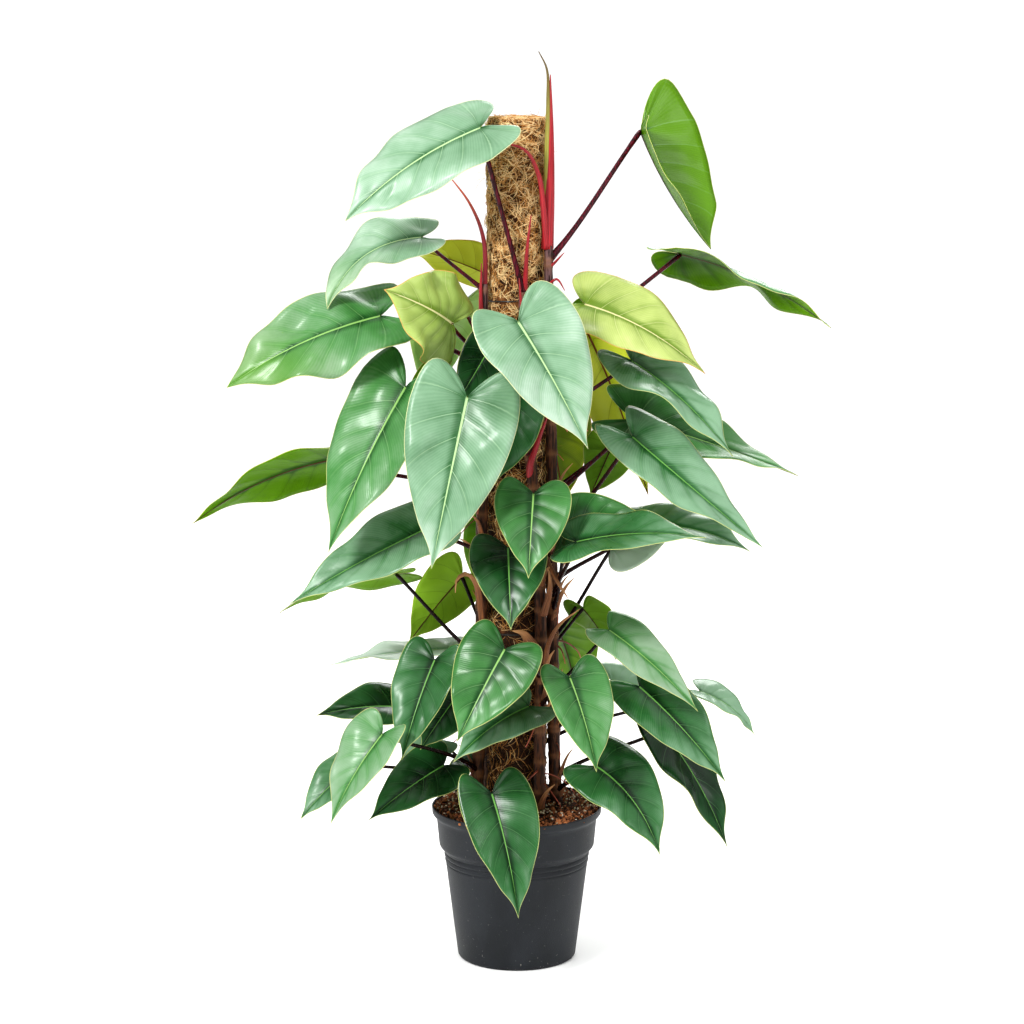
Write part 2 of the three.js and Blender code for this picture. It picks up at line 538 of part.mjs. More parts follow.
// The soil: a plug that follows the pot's inside, with plain holes for the pole and the stems
function soil() {
  const wall = potInside(GAP + 0.4).slice(0, -1);
  const foot = POT_FLOOR + GAP;
  const edge = wall.at(-1)[0];
  const outline = [
    [0, foot],
    [wall[0][0] - 1, foot],
    ...wall.slice(1),
    [edge + 0.5, SOIL_EDGE_HEIGHT],
    [edge * 0.86, SOIL_EDGE_HEIGHT + SOIL_HEAP * 0.4],
    [edge * 0.66, SOIL_EDGE_HEIGHT + SOIL_HEAP * 0.75],
    [edge * 0.35, SOIL_EDGE_HEIGHT + SOIL_HEAP],
    [0, SOIL_EDGE_HEIGHT + SOIL_HEAP],
  ];
  const geometry = turned(outline, SOIL_SIDES);
  const position = geometry.attributes.position;
  for (let i = 0; i < position.count; i += 1) {
    const radius = Math.hypot(position.getX(i), position.getY(i));
    if (position.getZ(i) > SOIL_EDGE_HEIGHT + 1 && radius > 1) {
      const lump = uneven(Math.round(position.getX(i)), Math.round(position.getY(i)));
      position.setZ(i, position.getZ(i) + SOIL_LUMP * lump);
    }
  }
  const hole = COIR_RADIUS + COIR_HOLE;
  const bore = new THREE.CylinderGeometry(hole, hole, 2 * POT_HEIGHT, SOIL_SIDES).rotateX(Math.PI / 2);
  let plug = toSolid(geometry).subtract(toSolid(bore.translate(0, 0, POT_HEIGHT / 2)));
  for (const name of Object.keys(STEMS)) {
    plug = plug.subtract(toSolid(stemTube(name, GAP)));
  }
  return toGeometry(plug);
}

// Finishes
const FINISHES = {
  pot: { color: 0x2b2d2f, roughness: 0.55 },
  soil: { color: 0x3a2417, roughness: 0.95 },
  coir: { color: 0xa9793f, roughness: 0.95 },
  stake: { color: 0xb08d5b, roughness: 0.8 },
  wire: { color: 0x1a1a1a, roughness: 0.5 },
  stem: { color: 0x5b2a2e, roughness: 0.5 },
  sheath: { color: 0x9a2f3a, roughness: 0.45 },
  mint: { color: 0x7fb59a, roughness: 0.35 },
  fresh: { color: 0x3f7d46, roughness: 0.35 },
  lime: { color: 0x9fb04a, roughness: 0.4 },
  deep: { color: 0x24553a, roughness: 0.35 },
};

const plant = new THREE.Group();

function add(name, geometry, finish) {
  const mesh = new THREE.Mesh(geometry, new THREE.MeshStandardMaterial({ metalness: 0, ...FINISHES[finish] }));
  mesh.name = name;
  plant.add(mesh);
}

add("pot", pot(), "pot");
add("soil", soil(), "soil");
add("pole_stake", stakeShape(STAKE_RADIUS, POT_FLOOR + GAP, POLE_HEIGHT - COIR_CAP - GAP), "stake");
add("pole_coir", coirSleeve(), "coir");
TIE_HEIGHTS.forEach((height, i) => add(`wire_tie_${i + 1}`, wireTie(height), "wire"));
add("new_leaf_roll", spear(), "sheath");
Object.keys(STEMS).forEach((name) => add(name, stem(name), "stem"));
leaves.forEach((leaf) => add(leaf.name, blade(leaf), leaf.tone));

export default plant;
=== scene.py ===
# %% [markdown]
# # A potted red emerald philodendron on its coir pole
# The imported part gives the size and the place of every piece. Each cell below makes one kind of piece
# finer, or gives it its finish. Lengths in the tables are millimetres, as on the real plant, and
# everything that goes into a mesh is in metres.

# %% Load the frame
import itertools
import math

import bpy
import numpy as np
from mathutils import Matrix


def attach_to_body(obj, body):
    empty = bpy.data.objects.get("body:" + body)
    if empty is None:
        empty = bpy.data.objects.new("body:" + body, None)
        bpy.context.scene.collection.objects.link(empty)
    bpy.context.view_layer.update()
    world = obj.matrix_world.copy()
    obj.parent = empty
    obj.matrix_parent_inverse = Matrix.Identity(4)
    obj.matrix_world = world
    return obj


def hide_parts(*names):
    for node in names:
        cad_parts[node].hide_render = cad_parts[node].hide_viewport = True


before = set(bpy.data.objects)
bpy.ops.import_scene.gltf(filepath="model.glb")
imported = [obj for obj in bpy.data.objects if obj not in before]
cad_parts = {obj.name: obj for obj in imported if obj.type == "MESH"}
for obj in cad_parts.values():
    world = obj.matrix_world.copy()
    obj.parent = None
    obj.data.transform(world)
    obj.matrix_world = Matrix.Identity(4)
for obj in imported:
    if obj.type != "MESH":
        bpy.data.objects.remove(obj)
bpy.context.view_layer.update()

# %% [markdown]
# ## Small tools for arrays
# A leaf, a stalk or a pot is a surface over two parameters. Its points are worked out together as one
# array, so the formula reads as it would on paper. Points that fall together, such as those of a tip,
# share one number, and the triangles that this flattens are dropped.

# %% Vectors and noise
MM = 0.001
UP = np.array([0, 0, 1.0])
WAVES = 10  # sine waves in a ripple
draw = np.random.default_rng(7)


def unit(vectors):
    """Each vector divided by its own length."""
    return vectors / (np.linalg.norm(vectors, axis=-1, keepdims=True) + 1e-12)


def level(points):
    """The unit directions from the Z axis to the points."""
    return unit(points * [1, 1, 0])


def dot(a, b):
    """The sum of the products of the coordinates, kept as a column."""
    return (a * b).sum(axis=-1, keepdims=True)


def polar(radius, angle, height):
    """The point at a radius from the Z axis, at an angle from the X axis."""
    return np.stack([radius * np.cos(angle), radius * np.sin(angle), height + 0 * angle], -1)


def bump(distance, width):
    """A round bump: 1 where the distance is 0, exp(-1) where it is the width."""
    return np.exp(-((distance / width) ** 2))


def ripple(points, size, seed):
    """A smooth random height between about -1 and 1: the sum of sine waves of random directions, with
    wavelengths from one to three times the given size, divided by the root of their number."""
    dice = np.random.default_rng(seed)
    directions = unit(dice.normal(size=(WAVES, 3))) * (2 * math.pi / size) / dice.uniform(1, 3, (WAVES, 1))
    phases = dice.uniform(0, 2 * math.pi, WAVES)
    return np.sin(points @ directions.T + phases).sum(axis=-1) / math.sqrt(WAVES)


def drift(points, size, seed):
    """Three ripples, one for each coordinate."""
    return np.stack([ripple(points, size, seed + k) for k in range(3)], -1)


# %% Triangles of a grid
def grid_faces(ids, around=False):
    """Two triangles for each cell of a grid of point numbers. When the grid runs around, its last column
    meets its first. Triangles with two equal corners are left out."""
    if around:
        ids = np.concatenate([ids, ids[..., :1]], axis=-1)
    a, b = ids[..., :-1, :-1], ids[..., 1:, :-1]
    c, d = ids[..., 1:, 1:], ids[..., :-1, 1:]
    faces = np.concatenate([np.stack([a, b, c], -1).reshape(-1, 3), np.stack([a, c, d], -1).reshape(-1, 3)])
    flat = (faces[:, 0] == faces[:, 1]) | (faces[:, 1] == faces[:, 2]) | (faces[:, 2] == faces[:, 0])
    return faces[~flat]


def point_normals(points, faces):
    """For each point the sum of the crossed edges of its triangles, made one long."""
    a, b, c = points[faces.T]
    crossed = np.cross(b - a, c - a)
    normals = np.zeros_like(points)
    for k in range(3):
        np.add.at(normals, faces[:, k], crossed)
    return unit(normals)


def plate(points, faces, up, down):
    """A closed plate from an open surface: the surface moved up and down along its normals, and a strip of
    triangles along every edge that only one triangle has. Returns points, faces and each face's side."""
    normals = point_normals(points, faces)
    count = len(points)
    both = np.concatenate([points + normals * up[:, None], points - normals * down[:, None]])
    edges = np.concatenate([faces[:, [0, 1]], faces[:, [1, 2]], faces[:, [2, 0]]])
    forward = edges[:, 0] * count + edges[:, 1]
    backward = edges[:, 1] * count + edges[:, 0]
    a, b = edges[~np.isin(forward, backward)].T
    rim = np.concatenate([np.stack([b, a, a + count], -1), np.stack([b, a + count, b + count], -1)])
    under = faces[:, ::-1] + count
    sides = np.repeat([0, 1, 0], [len(faces), len(under), len(rim)])
    return both, np.concatenate([faces, under, rim]), sides


# %% Put arrays into a piece
triangles_made = {}


def add_object(name, data):
    """A new object in the scene with this mesh, lamp or camera."""
    made = bpy.data.objects.new(name, data)
    bpy.context.scene.collection.objects.link(made)
    return made


def make_piece(name, points, faces, finishes, nodes=(), sides=None, values=None, smooth=True):
    """Makes a closed mesh object from points in millimetres. It rides on the root and stands for the given
    nodes. Points that no face uses are dropped. A mesh whose signed volume is negative is turned right
    side out."""
    used, numbers = np.unique(faces, return_inverse=True)
    faces = numbers.reshape(-1, 3)
    points = points[used] * MM
    a, b, c = points[faces.T]
    volume = (a * np.cross(b, c)).sum() / 6
    if volume < 0:
        faces = faces[:, ::-1]
    mesh = bpy.data.meshes.new(name)
    mesh.from_pydata(points.tolist(), [], faces.tolist())
    for key, value in (values or {}).items():
        mesh.attributes.new(key, "FLOAT", "POINT").data.foreach_set("value", value[used].astype(np.float32))
    for finish in finishes:
        mesh.materials.append(finish.material)
    if sides is not None:
        mesh.polygons.foreach_set("material_index", sides.astype(np.int32))
    mesh.polygons.foreach_set("use_smooth", np.full(len(faces), smooth))
    mesh.update()
    piece = add_object(name, mesh)
    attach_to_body(piece, "root")
    if nodes:
        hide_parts(*nodes)
    triangles_made[name] = len(faces)


def tell_triangles(start):
    """Prints how many triangles the pieces have whose names start so."""
    print(start, "triangles:", sum(n for name, n in triangles_made.items() if name.startswith(start)))


# %% [markdown]
# ## Tubes and turned bodies
# Stalks, stems, roots, wires and fibres are all rings of points carried along a path. Many paths of the
# same length go through the same few lines at once, so thousands of fibres cost no more code than one.

# %% Tubes along paths
def tubes(paths, radii, sideways, sides):
    """Rings around many paths at once. paths is (tubes, steps, 3), radii (tubes, steps). A ring is the
    path's point plus radius times (cos a * u + sin a * v), where u is the sideways direction made square to
    the path and v is square to both. The ends close in a point. Returns points, faces, and for each point
    how far along its path it is, from 0 to 1."""
    tangent = unit(np.gradient(paths, axis=1))
    u = unit(sideways - dot(sideways, tangent) * tangent)
    v = np.cross(tangent, u)
    paths, u, v = (np.concatenate([a[:, :1], a, a[:, -1:]], axis=1) for a in (paths, u, v))
    radii = np.pad(radii, ((0, 0), (1, 1)))
    angle = np.arange(sides) * 2 * math.pi / sides
    spoke = u[:, :, None] * np.cos(angle)[:, None] + v[:, :, None] * np.sin(angle)[:, None]
    points = paths[:, :, None] + radii[:, :, None, None] * spoke
    count, steps = points.shape[:2]
    ids = np.arange(count * steps * sides).reshape(count, steps, sides)
    ids[:, 0] = ids[:, 0, :1]
    ids[:, -1] = ids[:, -1, :1]
    faces = grid_faces(ids, around=True)
    along = np.broadcast_to(np.linspace(0, 1, steps)[None, :, None], ids.shape)
    return points.reshape(-1, 3), faces, along.reshape(-1)


def turned(profile, segments):
    """A profile of (radius, height) pairs turned round the Z axis. Where the radius is 0 the ring is one
    point. Returns points and faces."""
    angle = np.arange(segments) * 2 * math.pi / segments
    radius, height = profile[:, :1], profile[:, 1:]
    points = polar(radius, angle, height)
    ids = np.arange(len(profile) * segments).reshape(len(profile), segments)
    poles = profile[:, 0] < 1e-9
    ids[poles] = ids[poles, :1]
    return points.reshape(-1, 3), grid_faces(ids, around=True)


# %% [markdown]
# ## Finishes
# A finish is a small sum of masks: where the veins are, how far a point is from the margin, and some
# noise. Wrapping a socket in a class with + - * and / lets such a sum be written in one line.

# %% Signals and finishes
def linear(colour):
    """A screen colour, red, green and blue from 0 to 255, as linear light with full alpha."""
    screen = np.array(colour) / 255
    light = np.where(screen <= 0.04045, screen / 12.92, ((screen + 0.055) / 1.055) ** 2.4)
    return (*light.tolist(), 1.0)


class Signal:
    """A number that varies over a surface. Arithmetic on it adds Math nodes."""

    def __init__(self, finish, socket):
        self.finish = finish
        self.socket = socket

    def __add__(self, other):
        return self.finish.math("ADD", self, other)

    __radd__ = __add__

    def __mul__(self, other):
        return self.finish.math("MULTIPLY", self, other)

    __rmul__ = __mul__

    def __sub__(self, other):
        return self.finish.math("SUBTRACT", self, other)

    def __rsub__(self, other):
        return self.finish.math("SUBTRACT", other, self)

    def __abs__(self):
        return self.finish.math("ABSOLUTE", self, 0)

    def rise(self, low, high):
        """0 below low, 1 above high, and a smooth step between them."""
        return self.finish.node(
            "ShaderNodeMapRange", {"interpolation_type": "SMOOTHSTEP"},
            {"Value": self, "From Min": low, "From Max": high},
        )

    def mix(self, a, b):
        """Colour a where the signal is 0, colour b where it is 1. Each is a signal or a screen colour."""
        a, b = (paint if isinstance(paint, Signal) else linear(paint) for paint in (a, b))
        return self.finish.node("ShaderNodeMix", {"data_type": "RGBA"}, {0: self, 6: a, 7: b}, 2)


class Finish:
    """A material: its shader's fixed values, and the nodes that vary its colour, roughness and relief."""

    def __init__(self, name, fixed):
        self.material = bpy.data.materials.new(name)
        self.material.use_nodes = True
        self.tree = self.material.node_tree
        self.shader = self.tree.nodes["Principled BSDF"]
        for socket, value in fixed.items():
            self.shader.inputs[socket].default_value = value

    def feed(self, socket, value):
        """Links a signal to a socket, or sets a plain value on it."""
        if isinstance(value, Signal):
            self.tree.links.new(value.socket, socket)
        else:
            socket.default_value = value

    def node(self, kind, settings, sockets, output=0):
        """Adds a node, makes its settings, fills its sockets and returns one output as a signal."""
        node = self.tree.nodes.new(kind)
        for key, value in settings.items():
            setattr(node, key, value)
        for key, value in sockets.items():
            self.feed(node.inputs[key], value)
        return Signal(self, node.outputs[output])

    def math(self, operation, a, b):
        return self.node("ShaderNodeMath", {"operation": operation}, {0: a, 1: b})

    def value(self, name):
        """A number stored on the points of the mesh."""
        return self.node("ShaderNodeAttribute", {"attribute_name": name}, {}, "Fac")

    def place(self, stretch=(1, 1, 1)):
        """The point's place in metres, stretched along the axes."""
        coordinates = self.node("ShaderNodeTexCoord", {}, {}, "Object")
        return self.node("ShaderNodeVectorMath", {"operation": "MULTIPLY"}, {0: coordinates, 1: stretch})

    def vector(self, x, y, z):
        return self.node("ShaderNodeCombineXYZ", {}, {0: x, 1: y, 2: z})

    def noise(self, where, scale, detail):
        """Cloudy noise, about 0.5 on average, with the given number of clouds in a metre. Each step of
        detail adds clouds of half the size."""
        return self.node("ShaderNodeTexNoise", {}, {"Vector": where, "Scale": scale, "Detail": detail})

    def paint(self, base, roughness, height=None, distance=0.001):
        """Feeds the shader: a colour, a roughness, and a height in units of the given distance."""
        self.feed(self.shader.inputs["Base Color"], base)
        self.feed(self.shader.inputs["Roughness"], roughness)
        if height is not None:
            normal = self.node("ShaderNodeBump", {}, {"Distance": distance, "Height": height}, "Normal")
            self.feed(self.shader.inputs["Normal"], normal)


# %% [markdown]
# ## The leaf table
# Each row says where a leaf is on the real plant: the stem it grows from, the height of its stalk's foot,
# the point where stalk and blade meet, the tip, where the upper side looks (azimuth from the front and
# elevation), the width, the tone, how far the midrib bows, and how much lighter than its kind the leaf is
# on the side that it turns to the front, partly its own tone and partly painted light and shade. The values
# of its shape follow, where they are not the usual ones. The places and shapes are the part's. Only
# lightness, calm (the share of fine frill and random bulges), and glow and tip_glow (the light that shines
# through at the stalk and at the tip) are new here.
# A stem's row has the points of its middle line: azimuth, distance from the pole's axis and height.

# %% Leaves, in millimetres and degrees
LEAVES = """
01 front 945 -50,-70,1168 -228,-110,1048 -20,56 136 mint 0.07 0.09 fold=4 twist=-28 full=0.5 rise=2.7
02 right 988 171,60,1158 267,30,998 58,12 164 fresh -0.05 -0.15 fold=38 lobe=0.1 lobes=1.6 left_lobe=0.3 \
    full=0.66 wave=3.5 calm=0.25 glow=1 tip_glow=1
03 right 850 226,40,991 429,-20,895 180,68 124 fresh 0.06 -0.15 fold=-12 wave=10 phase=0.98
04 right 880 93,-52,930 253,-100,842 10,45 124 lime 0.1 -0.1 lobes=1.1
05 back_right 800 94,70,889 187,110,641 160,20 150 lime 0.05 0.75
06 right 770 157,-40,851 290,-120,733 30,52 106 deep 0.06 0.55 wave=6
07 right 660 166,0,764 385,-40,694 20,42 112 fresh 0.02 0 twist=-32 lobes=1.3
10 right 600 157,-90,754 330,-150,614 20,42 104 deep 0.05 0.55 sway=-0.04 wave=4
11 right 540 171,10,613 322,-30,586 20,60 100 deep 0.1 0.4
12 right 520 81,-165,625 250,-205,638 10,62 100 deep 0.06 0.15
13 right 500 66,-75,624 178,-125,655 0,26 92 fresh 0.14 -0.35
14 back_right 430 133,20,582 235,100,620 0,35 92 mint 0.04 0.9
15 front 800 2,-170,919 93,-220,759 16,22 148 mint 0.05 0.15 fold=18
16 left 740 -66,-170,819 -113,-220,599 0,20 150 mint 0.04 0
17 left 760 -150,-100,823 -252,-160,609 -25,20 138 fresh 0.05 0.15 wave=3.5
18 left 840 -186,-60,915 -391,-90,822 -10,54 140 fresh 0.07 0.25 fold=5 twist=-25 wave=5 full=0.5 \
    calm=1.4 tip_glow=0.6
19 left 850 -88,-115,913 -175,-170,963 -8,24 128 lime 0.12 -0.15 fold=-6 lobes=1.7 full=0.36 calm=2.2 \
    glow=0.3 tip_glow=0.15
20 front 600 22,-150,686 15,-210,584 0,35 105 fresh 0.05 -0.15
21 front 540 -12,-120,607 -8,-190,510 0,35 108 deep 0.06 -0.2
22 front 720 -2,-88,812 -30,-104,692 20,15 92 deep 0.05 -0.1
24 left 580 -125,-80,626 -307,-130,533 -10,45 102 deep 0.03 0.5 wave=4
25 left 430 -167,-20,554 -331,-20,496 180,68 92 deep 0.09 1 fold=-5
26 back_left 460 -77,60,533 -155,90,429 175,30 92 fresh 0.05 1.6
27 back_left 640 -261,10,708 -451,10,618 180,54 112 fresh 0.07 -0.1 fold=-5 wave=5 glow=0.5 tip_glow=0.7
28 left 370 -97,40,432 -261,0,419 -10,84 90 mint 0.03 0.7
29 left 320 -167,20,354 -280,-20,351 0,55 84 deep 0.06 -0.4
30 left 350 -112,-110,450 -155,-170,327 -22,20 96 deep 0.05 0.05 fold=18
31 left 270 -182,-166,360 -250,-200,246 -38,28 98 fresh 0.06 0.4 fold=20
32 left 250 -219,-80,299 -297,-120,229 -20,50 74 deep 0.06 0.2
33 left 235 -102,-70,292 -203,-115,227 -10,40 88 deep 0.06 -0.2
35 front 410 -17,-160,476 -80,-210,362 0,35 115 fresh 0.05 -0.15
36 front 340 15,-100,383 -86,-170,323 0,55 90 deep 0.1 0.4
37 front 370 72,-140,432 107,-190,315 22,28 102 fresh 0.06 0 fold=18
38 front 225 -34,-130,267 2,-190,111 18,15 112 deep 0.08 -0.1 fold=20
39 right 240 111,-80,293 195,-150,188 10,45 110 deep 0.1 0 sway=0.05
40 right 330 170,-60,401 286,-115,281 20,35 104 deep 0.06 0.12
41 right 390 128,-55,480 246,-130,384 15,45 76 fresh 0.06 0.4 lobes=0.7
44 right 260 204,-20,330 293,-60,173 40,30 98 deep 0.06 -0.54
46 left 948 -131,-20,1018 -256,-60,925 -20,60 92 mint 0.13 0.2 sway=-0.1 full=0.6 wave=7 calm=1.8 \
    tip_glow=0.4
47 back_left 915 -44,62,962 -157,40,1000 180,40 84 lime 0.05 1.2
51 back_left 850 -78,132,912 -130,215,762 205,35 124 mint 0.06 1.3
52 back_left 790 72,176,885 145,250,735 150,35 130 fresh 0.06 0 rise=0.3
53 back_left 720 -95,140,800 -140,225,625 212,30 132 fresh 0.06 0
54 back_right 680 45,152,748 70,230,600 175,30 118 lime 0.06 -0.6
56 back_left 480 -20,150,590 -40,240,440 190,30 108 fresh 0.06 0
57 back_right 350 60,140,440 90,230,310 160,35 104 deep 0.06 0.7
58 back_left 300 -60,130,400 -110,215,270 200,35 104 deep 0.06 0
"""
SMALL_LEAVES = """
small_23 left 800 -36,-72,876 -83,-95,800 20,20 70 deep 0.06 -0.4
small_34 left 300 -85,-62,386 -133,-90,320 0,30 76 deep 0.06 -0.2
small_35 left 265 -105,-30,318 -167,-60,290 -10,40 56 deep 0.06 1.4
small_42 back_right 420 93,20,496 140,40,417 150,30 72 deep 0.05 1.1
small_43 back_right 290 260,30,373 336,20,313 30,78 74 deep 0.1 0.95
small_45 back_right 320 134,40,388 205,70,360 10,55 66 deep 0.06 2.2
small_49 back_right 640 133,50,721 103,75,645 160,30 76 deep 0.06 1.1
small_50 back_left 235 -55,62,262 -104,60,248 0,60 46 deep 0.06 -0.7
"""
SHAPE = dict(fold=12, curl=-0.06, twist=0, sway=0, lobe=0.03, lobes=1, left_lobe=1, full=0.24,
             wave=2.5, calm=1, rise=0.6, glow=0, tip_glow=0)
STEMS = """
right 82,66,160 80,56,235 74,52.5,420 66,52.5,620 60,52.5,820 54,52.5,985 54,52.5,1008
front 30,68,160 32,57,235 40,52.5,420 30,52.5,620 14,52.5,800 10,52.5,948
left -80,66,160 -76,57,235 -72,52.5,420 -66,52.5,620 -62,52.5,800 -60,52.5,956
back_left -140,66,160 -136,57,235 -128,52.5,420 -134,52.5,640 -130,52.5,800 -126,52.5,965
back_right 150,66,160 148,57,235 142,52.5,420 150,52.5,640 146,52.5,780 140,52.5,935
"""


def read_leaves(table):
    """Each row as a dictionary, with the usual values where the row names none."""
    found = []
    for number, row in enumerate(table.strip().splitlines()):
        name, stem, foot, attach, tip, face, width, tone, arch, light, *shape = row.split()
        leaf = {**SHAPE, "phase": number * 0.31 % 1, "number": number}
        leaf.update(name=name, stem=stem, tone=tone)
        for key, words in (("attach", attach), ("tip", tip), ("face", face)):
            leaf[key] = np.array(words.split(","), float)
        for word in shape + ["foot=" + foot, "width=" + width, "arch=" + arch, "light=" + light]:
            key, value = word.split("=")
            leaf[key] = float(value)
        leaf.update(length=np.linalg.norm(leaf["tip"] - leaf["attach"]), half=leaf["width"] / 2)
        found.append(leaf)
    return found


def read_routes(table):
    """Each row as a pair of its first word and its points."""
    rows = [row.split() for row in table.strip().splitlines()]
    return [(first, np.array([point.split(",") for point in points], float)) for first, *points in rows]


leaves, small_leaves = read_leaves(LEAVES), read_leaves(SMALL_LEAVES)
all_leaves = leaves + small_leaves
print("large leaves:", len(leaves), "small leaves:", len(small_leaves))

# %% [markdown]
# ## Leaf finishes
# The blade is glossy and leathery. The upper side has a pale midrib, five or six side veins on each side
# that lie in grooves, fine ribs between them and a thin pale margin. Painted shade darkens the grooves and
# the hollows near the midrib, and a painted sheen lightens the blade towards the margin. The under side is
# a yellower green, partly painted light that shines through it, with a dark red rib. The mesh carries the
# numbers that this needs: `vein` counts the side veins along the blade, `across` runs from the midrib to
# the margin, `rib` is the distance from the midrib in widths of the pale band, `edge` is the distance from
# the margin in metres, `glow` says where light shines through, and `shift` how much lighter than its kind
# this side of the leaf is, partly its own tone and partly painted light and shade.

# %% Leaf finish
VEINS = 9  # pairs of side veins
VIVID = (84, 128, 0)  # the blade where light shines through it


def leaf_finish(name, shade, body, pale, vein, rib, margin, gloss):
    """The colour runs from shade over body to pale. Painted shade darkens the hollows near the midrib and
    the grooves along the side veins, the body shows on the swellings, and pale, partly the leaf's own
    lighter green and partly a painted sheen, comes towards the margin and the tip of light leaves. Over it
    lie the vivid green of light that shines through, by the glow of the leaf, and lines on the veins, the
    midrib and the margin. The relief is the fine ribs between veins."""
    shiny = 1.0 if name.endswith("upper") else 0.3
    finish = Finish(name, {"Coat Weight": 0.12 * shiny, "Coat Roughness": 0.2,
                           "Specular IOR Level": 0.28 * shiny})
    count, across, shift = finish.value("vein"), finish.value("across"), finish.value("shift")
    place = finish.place()
    clouds = finish.noise(place, 17, 4)
    off_vein = abs(finish.math("FRACT", count + 0.5, 0) - 0.5)
    line = (1 - off_vein.rise(0.0, 0.03)) * (1 - 0.6 * across)
    # Painted shade: the colour darkens in the grooves along the side veins and in the hollows near the
    # midrib.
    groove = (1 - off_vein.rise(0.01, 0.24)) * (1 - 0.6 * across)
    painted_midrib_shade = 1 - finish.value("rib").rise(0.8, 9)
    fine = finish.math("SINE", count * 62 + clouds * 9, 0)
    band = 1 - finish.value("rib").rise(0.7, 1.1)
    border = 1 - finish.value("edge").rise(0.0003, 0.0012)
    # Painted sheen: the tone rises towards the margin, where pale shows. It also rises towards the tip, and
    # shift adds the leaf's own lightness together with painted light and shade.
    tone = 0.285 + count * (0.48 / VEINS) + (clouds - 0.5) * 1.1 + across * 0.3 + fine * 0.045 + shift
    tone = tone - groove * 0.2 - painted_midrib_shade * 0.45
    base = tone.rise(0.0, 0.9).mix(shade, body)
    base = tone.rise(0.7, 1.5).mix(base, pale)
    glow = finish.value("glow") * (tone + finish.value("glow") * 0.5).rise(0.3, 0.8)
    for share, paint in ((glow, VIVID), (line * 0.5, vein), (band * 0.9, rib), (border * 0.8, margin)):
        base = share.mix(base, paint)
    roughness = gloss + clouds * 0.2 + band * 0.1
    finish.paint(base, roughness, fine * 0.03 + clouds * 0.9 + band * 0.4, 0.0012)
    return finish


# Pale is partly the leaf's own lighter green and partly a painted sheen. The pale mint of the upper sides
# is partly a painted reflection of the bright light above, and the vivid yellow-green of the under sides is
# partly painted light that shines through the blade.
LEAF_COLOURS = {  # shade, body, pale, side veins, midrib and margin, then the roughness
    "leaf_mint_upper": ((46, 92, 50), (116, 150, 120), (178, 196, 180), (168, 198, 160),
                        (172, 202, 146), (214, 214, 160), 0.28),
    "leaf_fresh_upper": ((14, 62, 18), (70, 124, 66), (138, 162, 136), (128, 168, 112),
                         (136, 180, 100), (200, 200, 130), 0.24),
    "leaf_lime_upper": ((96, 122, 34), (170, 184, 108), (212, 214, 172), (206, 208, 150),
                        (210, 204, 150), (212, 150, 84), 0.26),
    "leaf_deep_upper": ((6, 38, 12), (46, 96, 50), (118, 152, 122), (92, 144, 88),
                        (106, 162, 78), (190, 194, 122), 0.2),
    "leaf_mint_under": ((84, 126, 38), (120, 158, 66), (150, 186, 104), (96, 80, 40),
                        (96, 44, 36), (200, 200, 130), 0.34),
    "leaf_fresh_under": ((40, 78, 2), (88, 132, 6), (130, 168, 44), (52, 44, 12),
                         (84, 26, 26), (190, 180, 100), 0.32),
    "leaf_lime_under": ((84, 104, 4), (150, 166, 20), (186, 196, 60), (84, 40, 20),
                        (96, 24, 28), (206, 160, 80), 0.32),
    "leaf_deep_under": ((24, 56, 4), (60, 104, 16), (104, 144, 40), (44, 32, 16),
                        (70, 24, 26), (170, 168, 96), 0.3),
}
leaf_finishes = {name: leaf_finish(name, *row) for name, row in LEAF_COLOURS.items()}
print("leaf finishes:", len(leaf_finishes))

# %% [markdown]
# ## Leaf blades
# A blade is heart shaped. Its outline is two Bezier arcs: one round the basal lobe, one from the widest
# place to the tip. Side veins join the midrib to the outline, so the blade is a grid of the outline's
# parameter and the way across. Modelling each leaf by hand would take days; a bent plan takes one line
# for each leaf.

# %% The flat plan
LOBE_SHARE = 0.35  # share of the outline's parameter that the basal lobe takes
LOBE_ARC = np.array([(0, 0), (-0.15, 0.22), (-0.36, 0.9), (0.07, 1)])
MARGIN_WAVES, FRILL_WAVES = 2.3, 4.1  # slow waves of the margin, and finer ones on them


def bezier(arc, t):
    """The cubic Bezier sum of the four points of the arc at each t."""
    weights = np.stack([(1 - t) ** 3, 3 * (1 - t) ** 2 * t, 3 * (1 - t) * t**2, t**3], -1)
    return weights @ arc


def outline(t, full):
    """Half the outline: x in blade lengths and y in half widths, and the x where its side vein leaves the
    midrib, which lies further back towards the tip."""
    side_arc = np.array([(0.07, 1), (0.49, 1.05), (0.8, full), (1, 0)])
    part = np.clip((t - LOBE_SHARE) / (1 - LOBE_SHARE), 0, 1)
    lobe = bezier(LOBE_ARC, np.clip(t / LOBE_SHARE, 0, 1))
    side = bezier(side_arc, part)
    on_lobe = t <= LOBE_SHARE
    x, y = np.where(on_lobe[:, None], lobe, side).T
    rib = np.where(on_lobe, 0, x - y * (0.07 + 0.45 * part))
    return x, y, rib


# %% Bend the plan into space
def direction(azimuth, elevation):
    """A unit vector: azimuth 0 is the front, 90 the viewer's right."""
    a, e = math.radians(azimuth), math.radians(elevation)
    return np.array([math.sin(a) * math.cos(e), -math.cos(a) * math.cos(e), math.sin(e)])


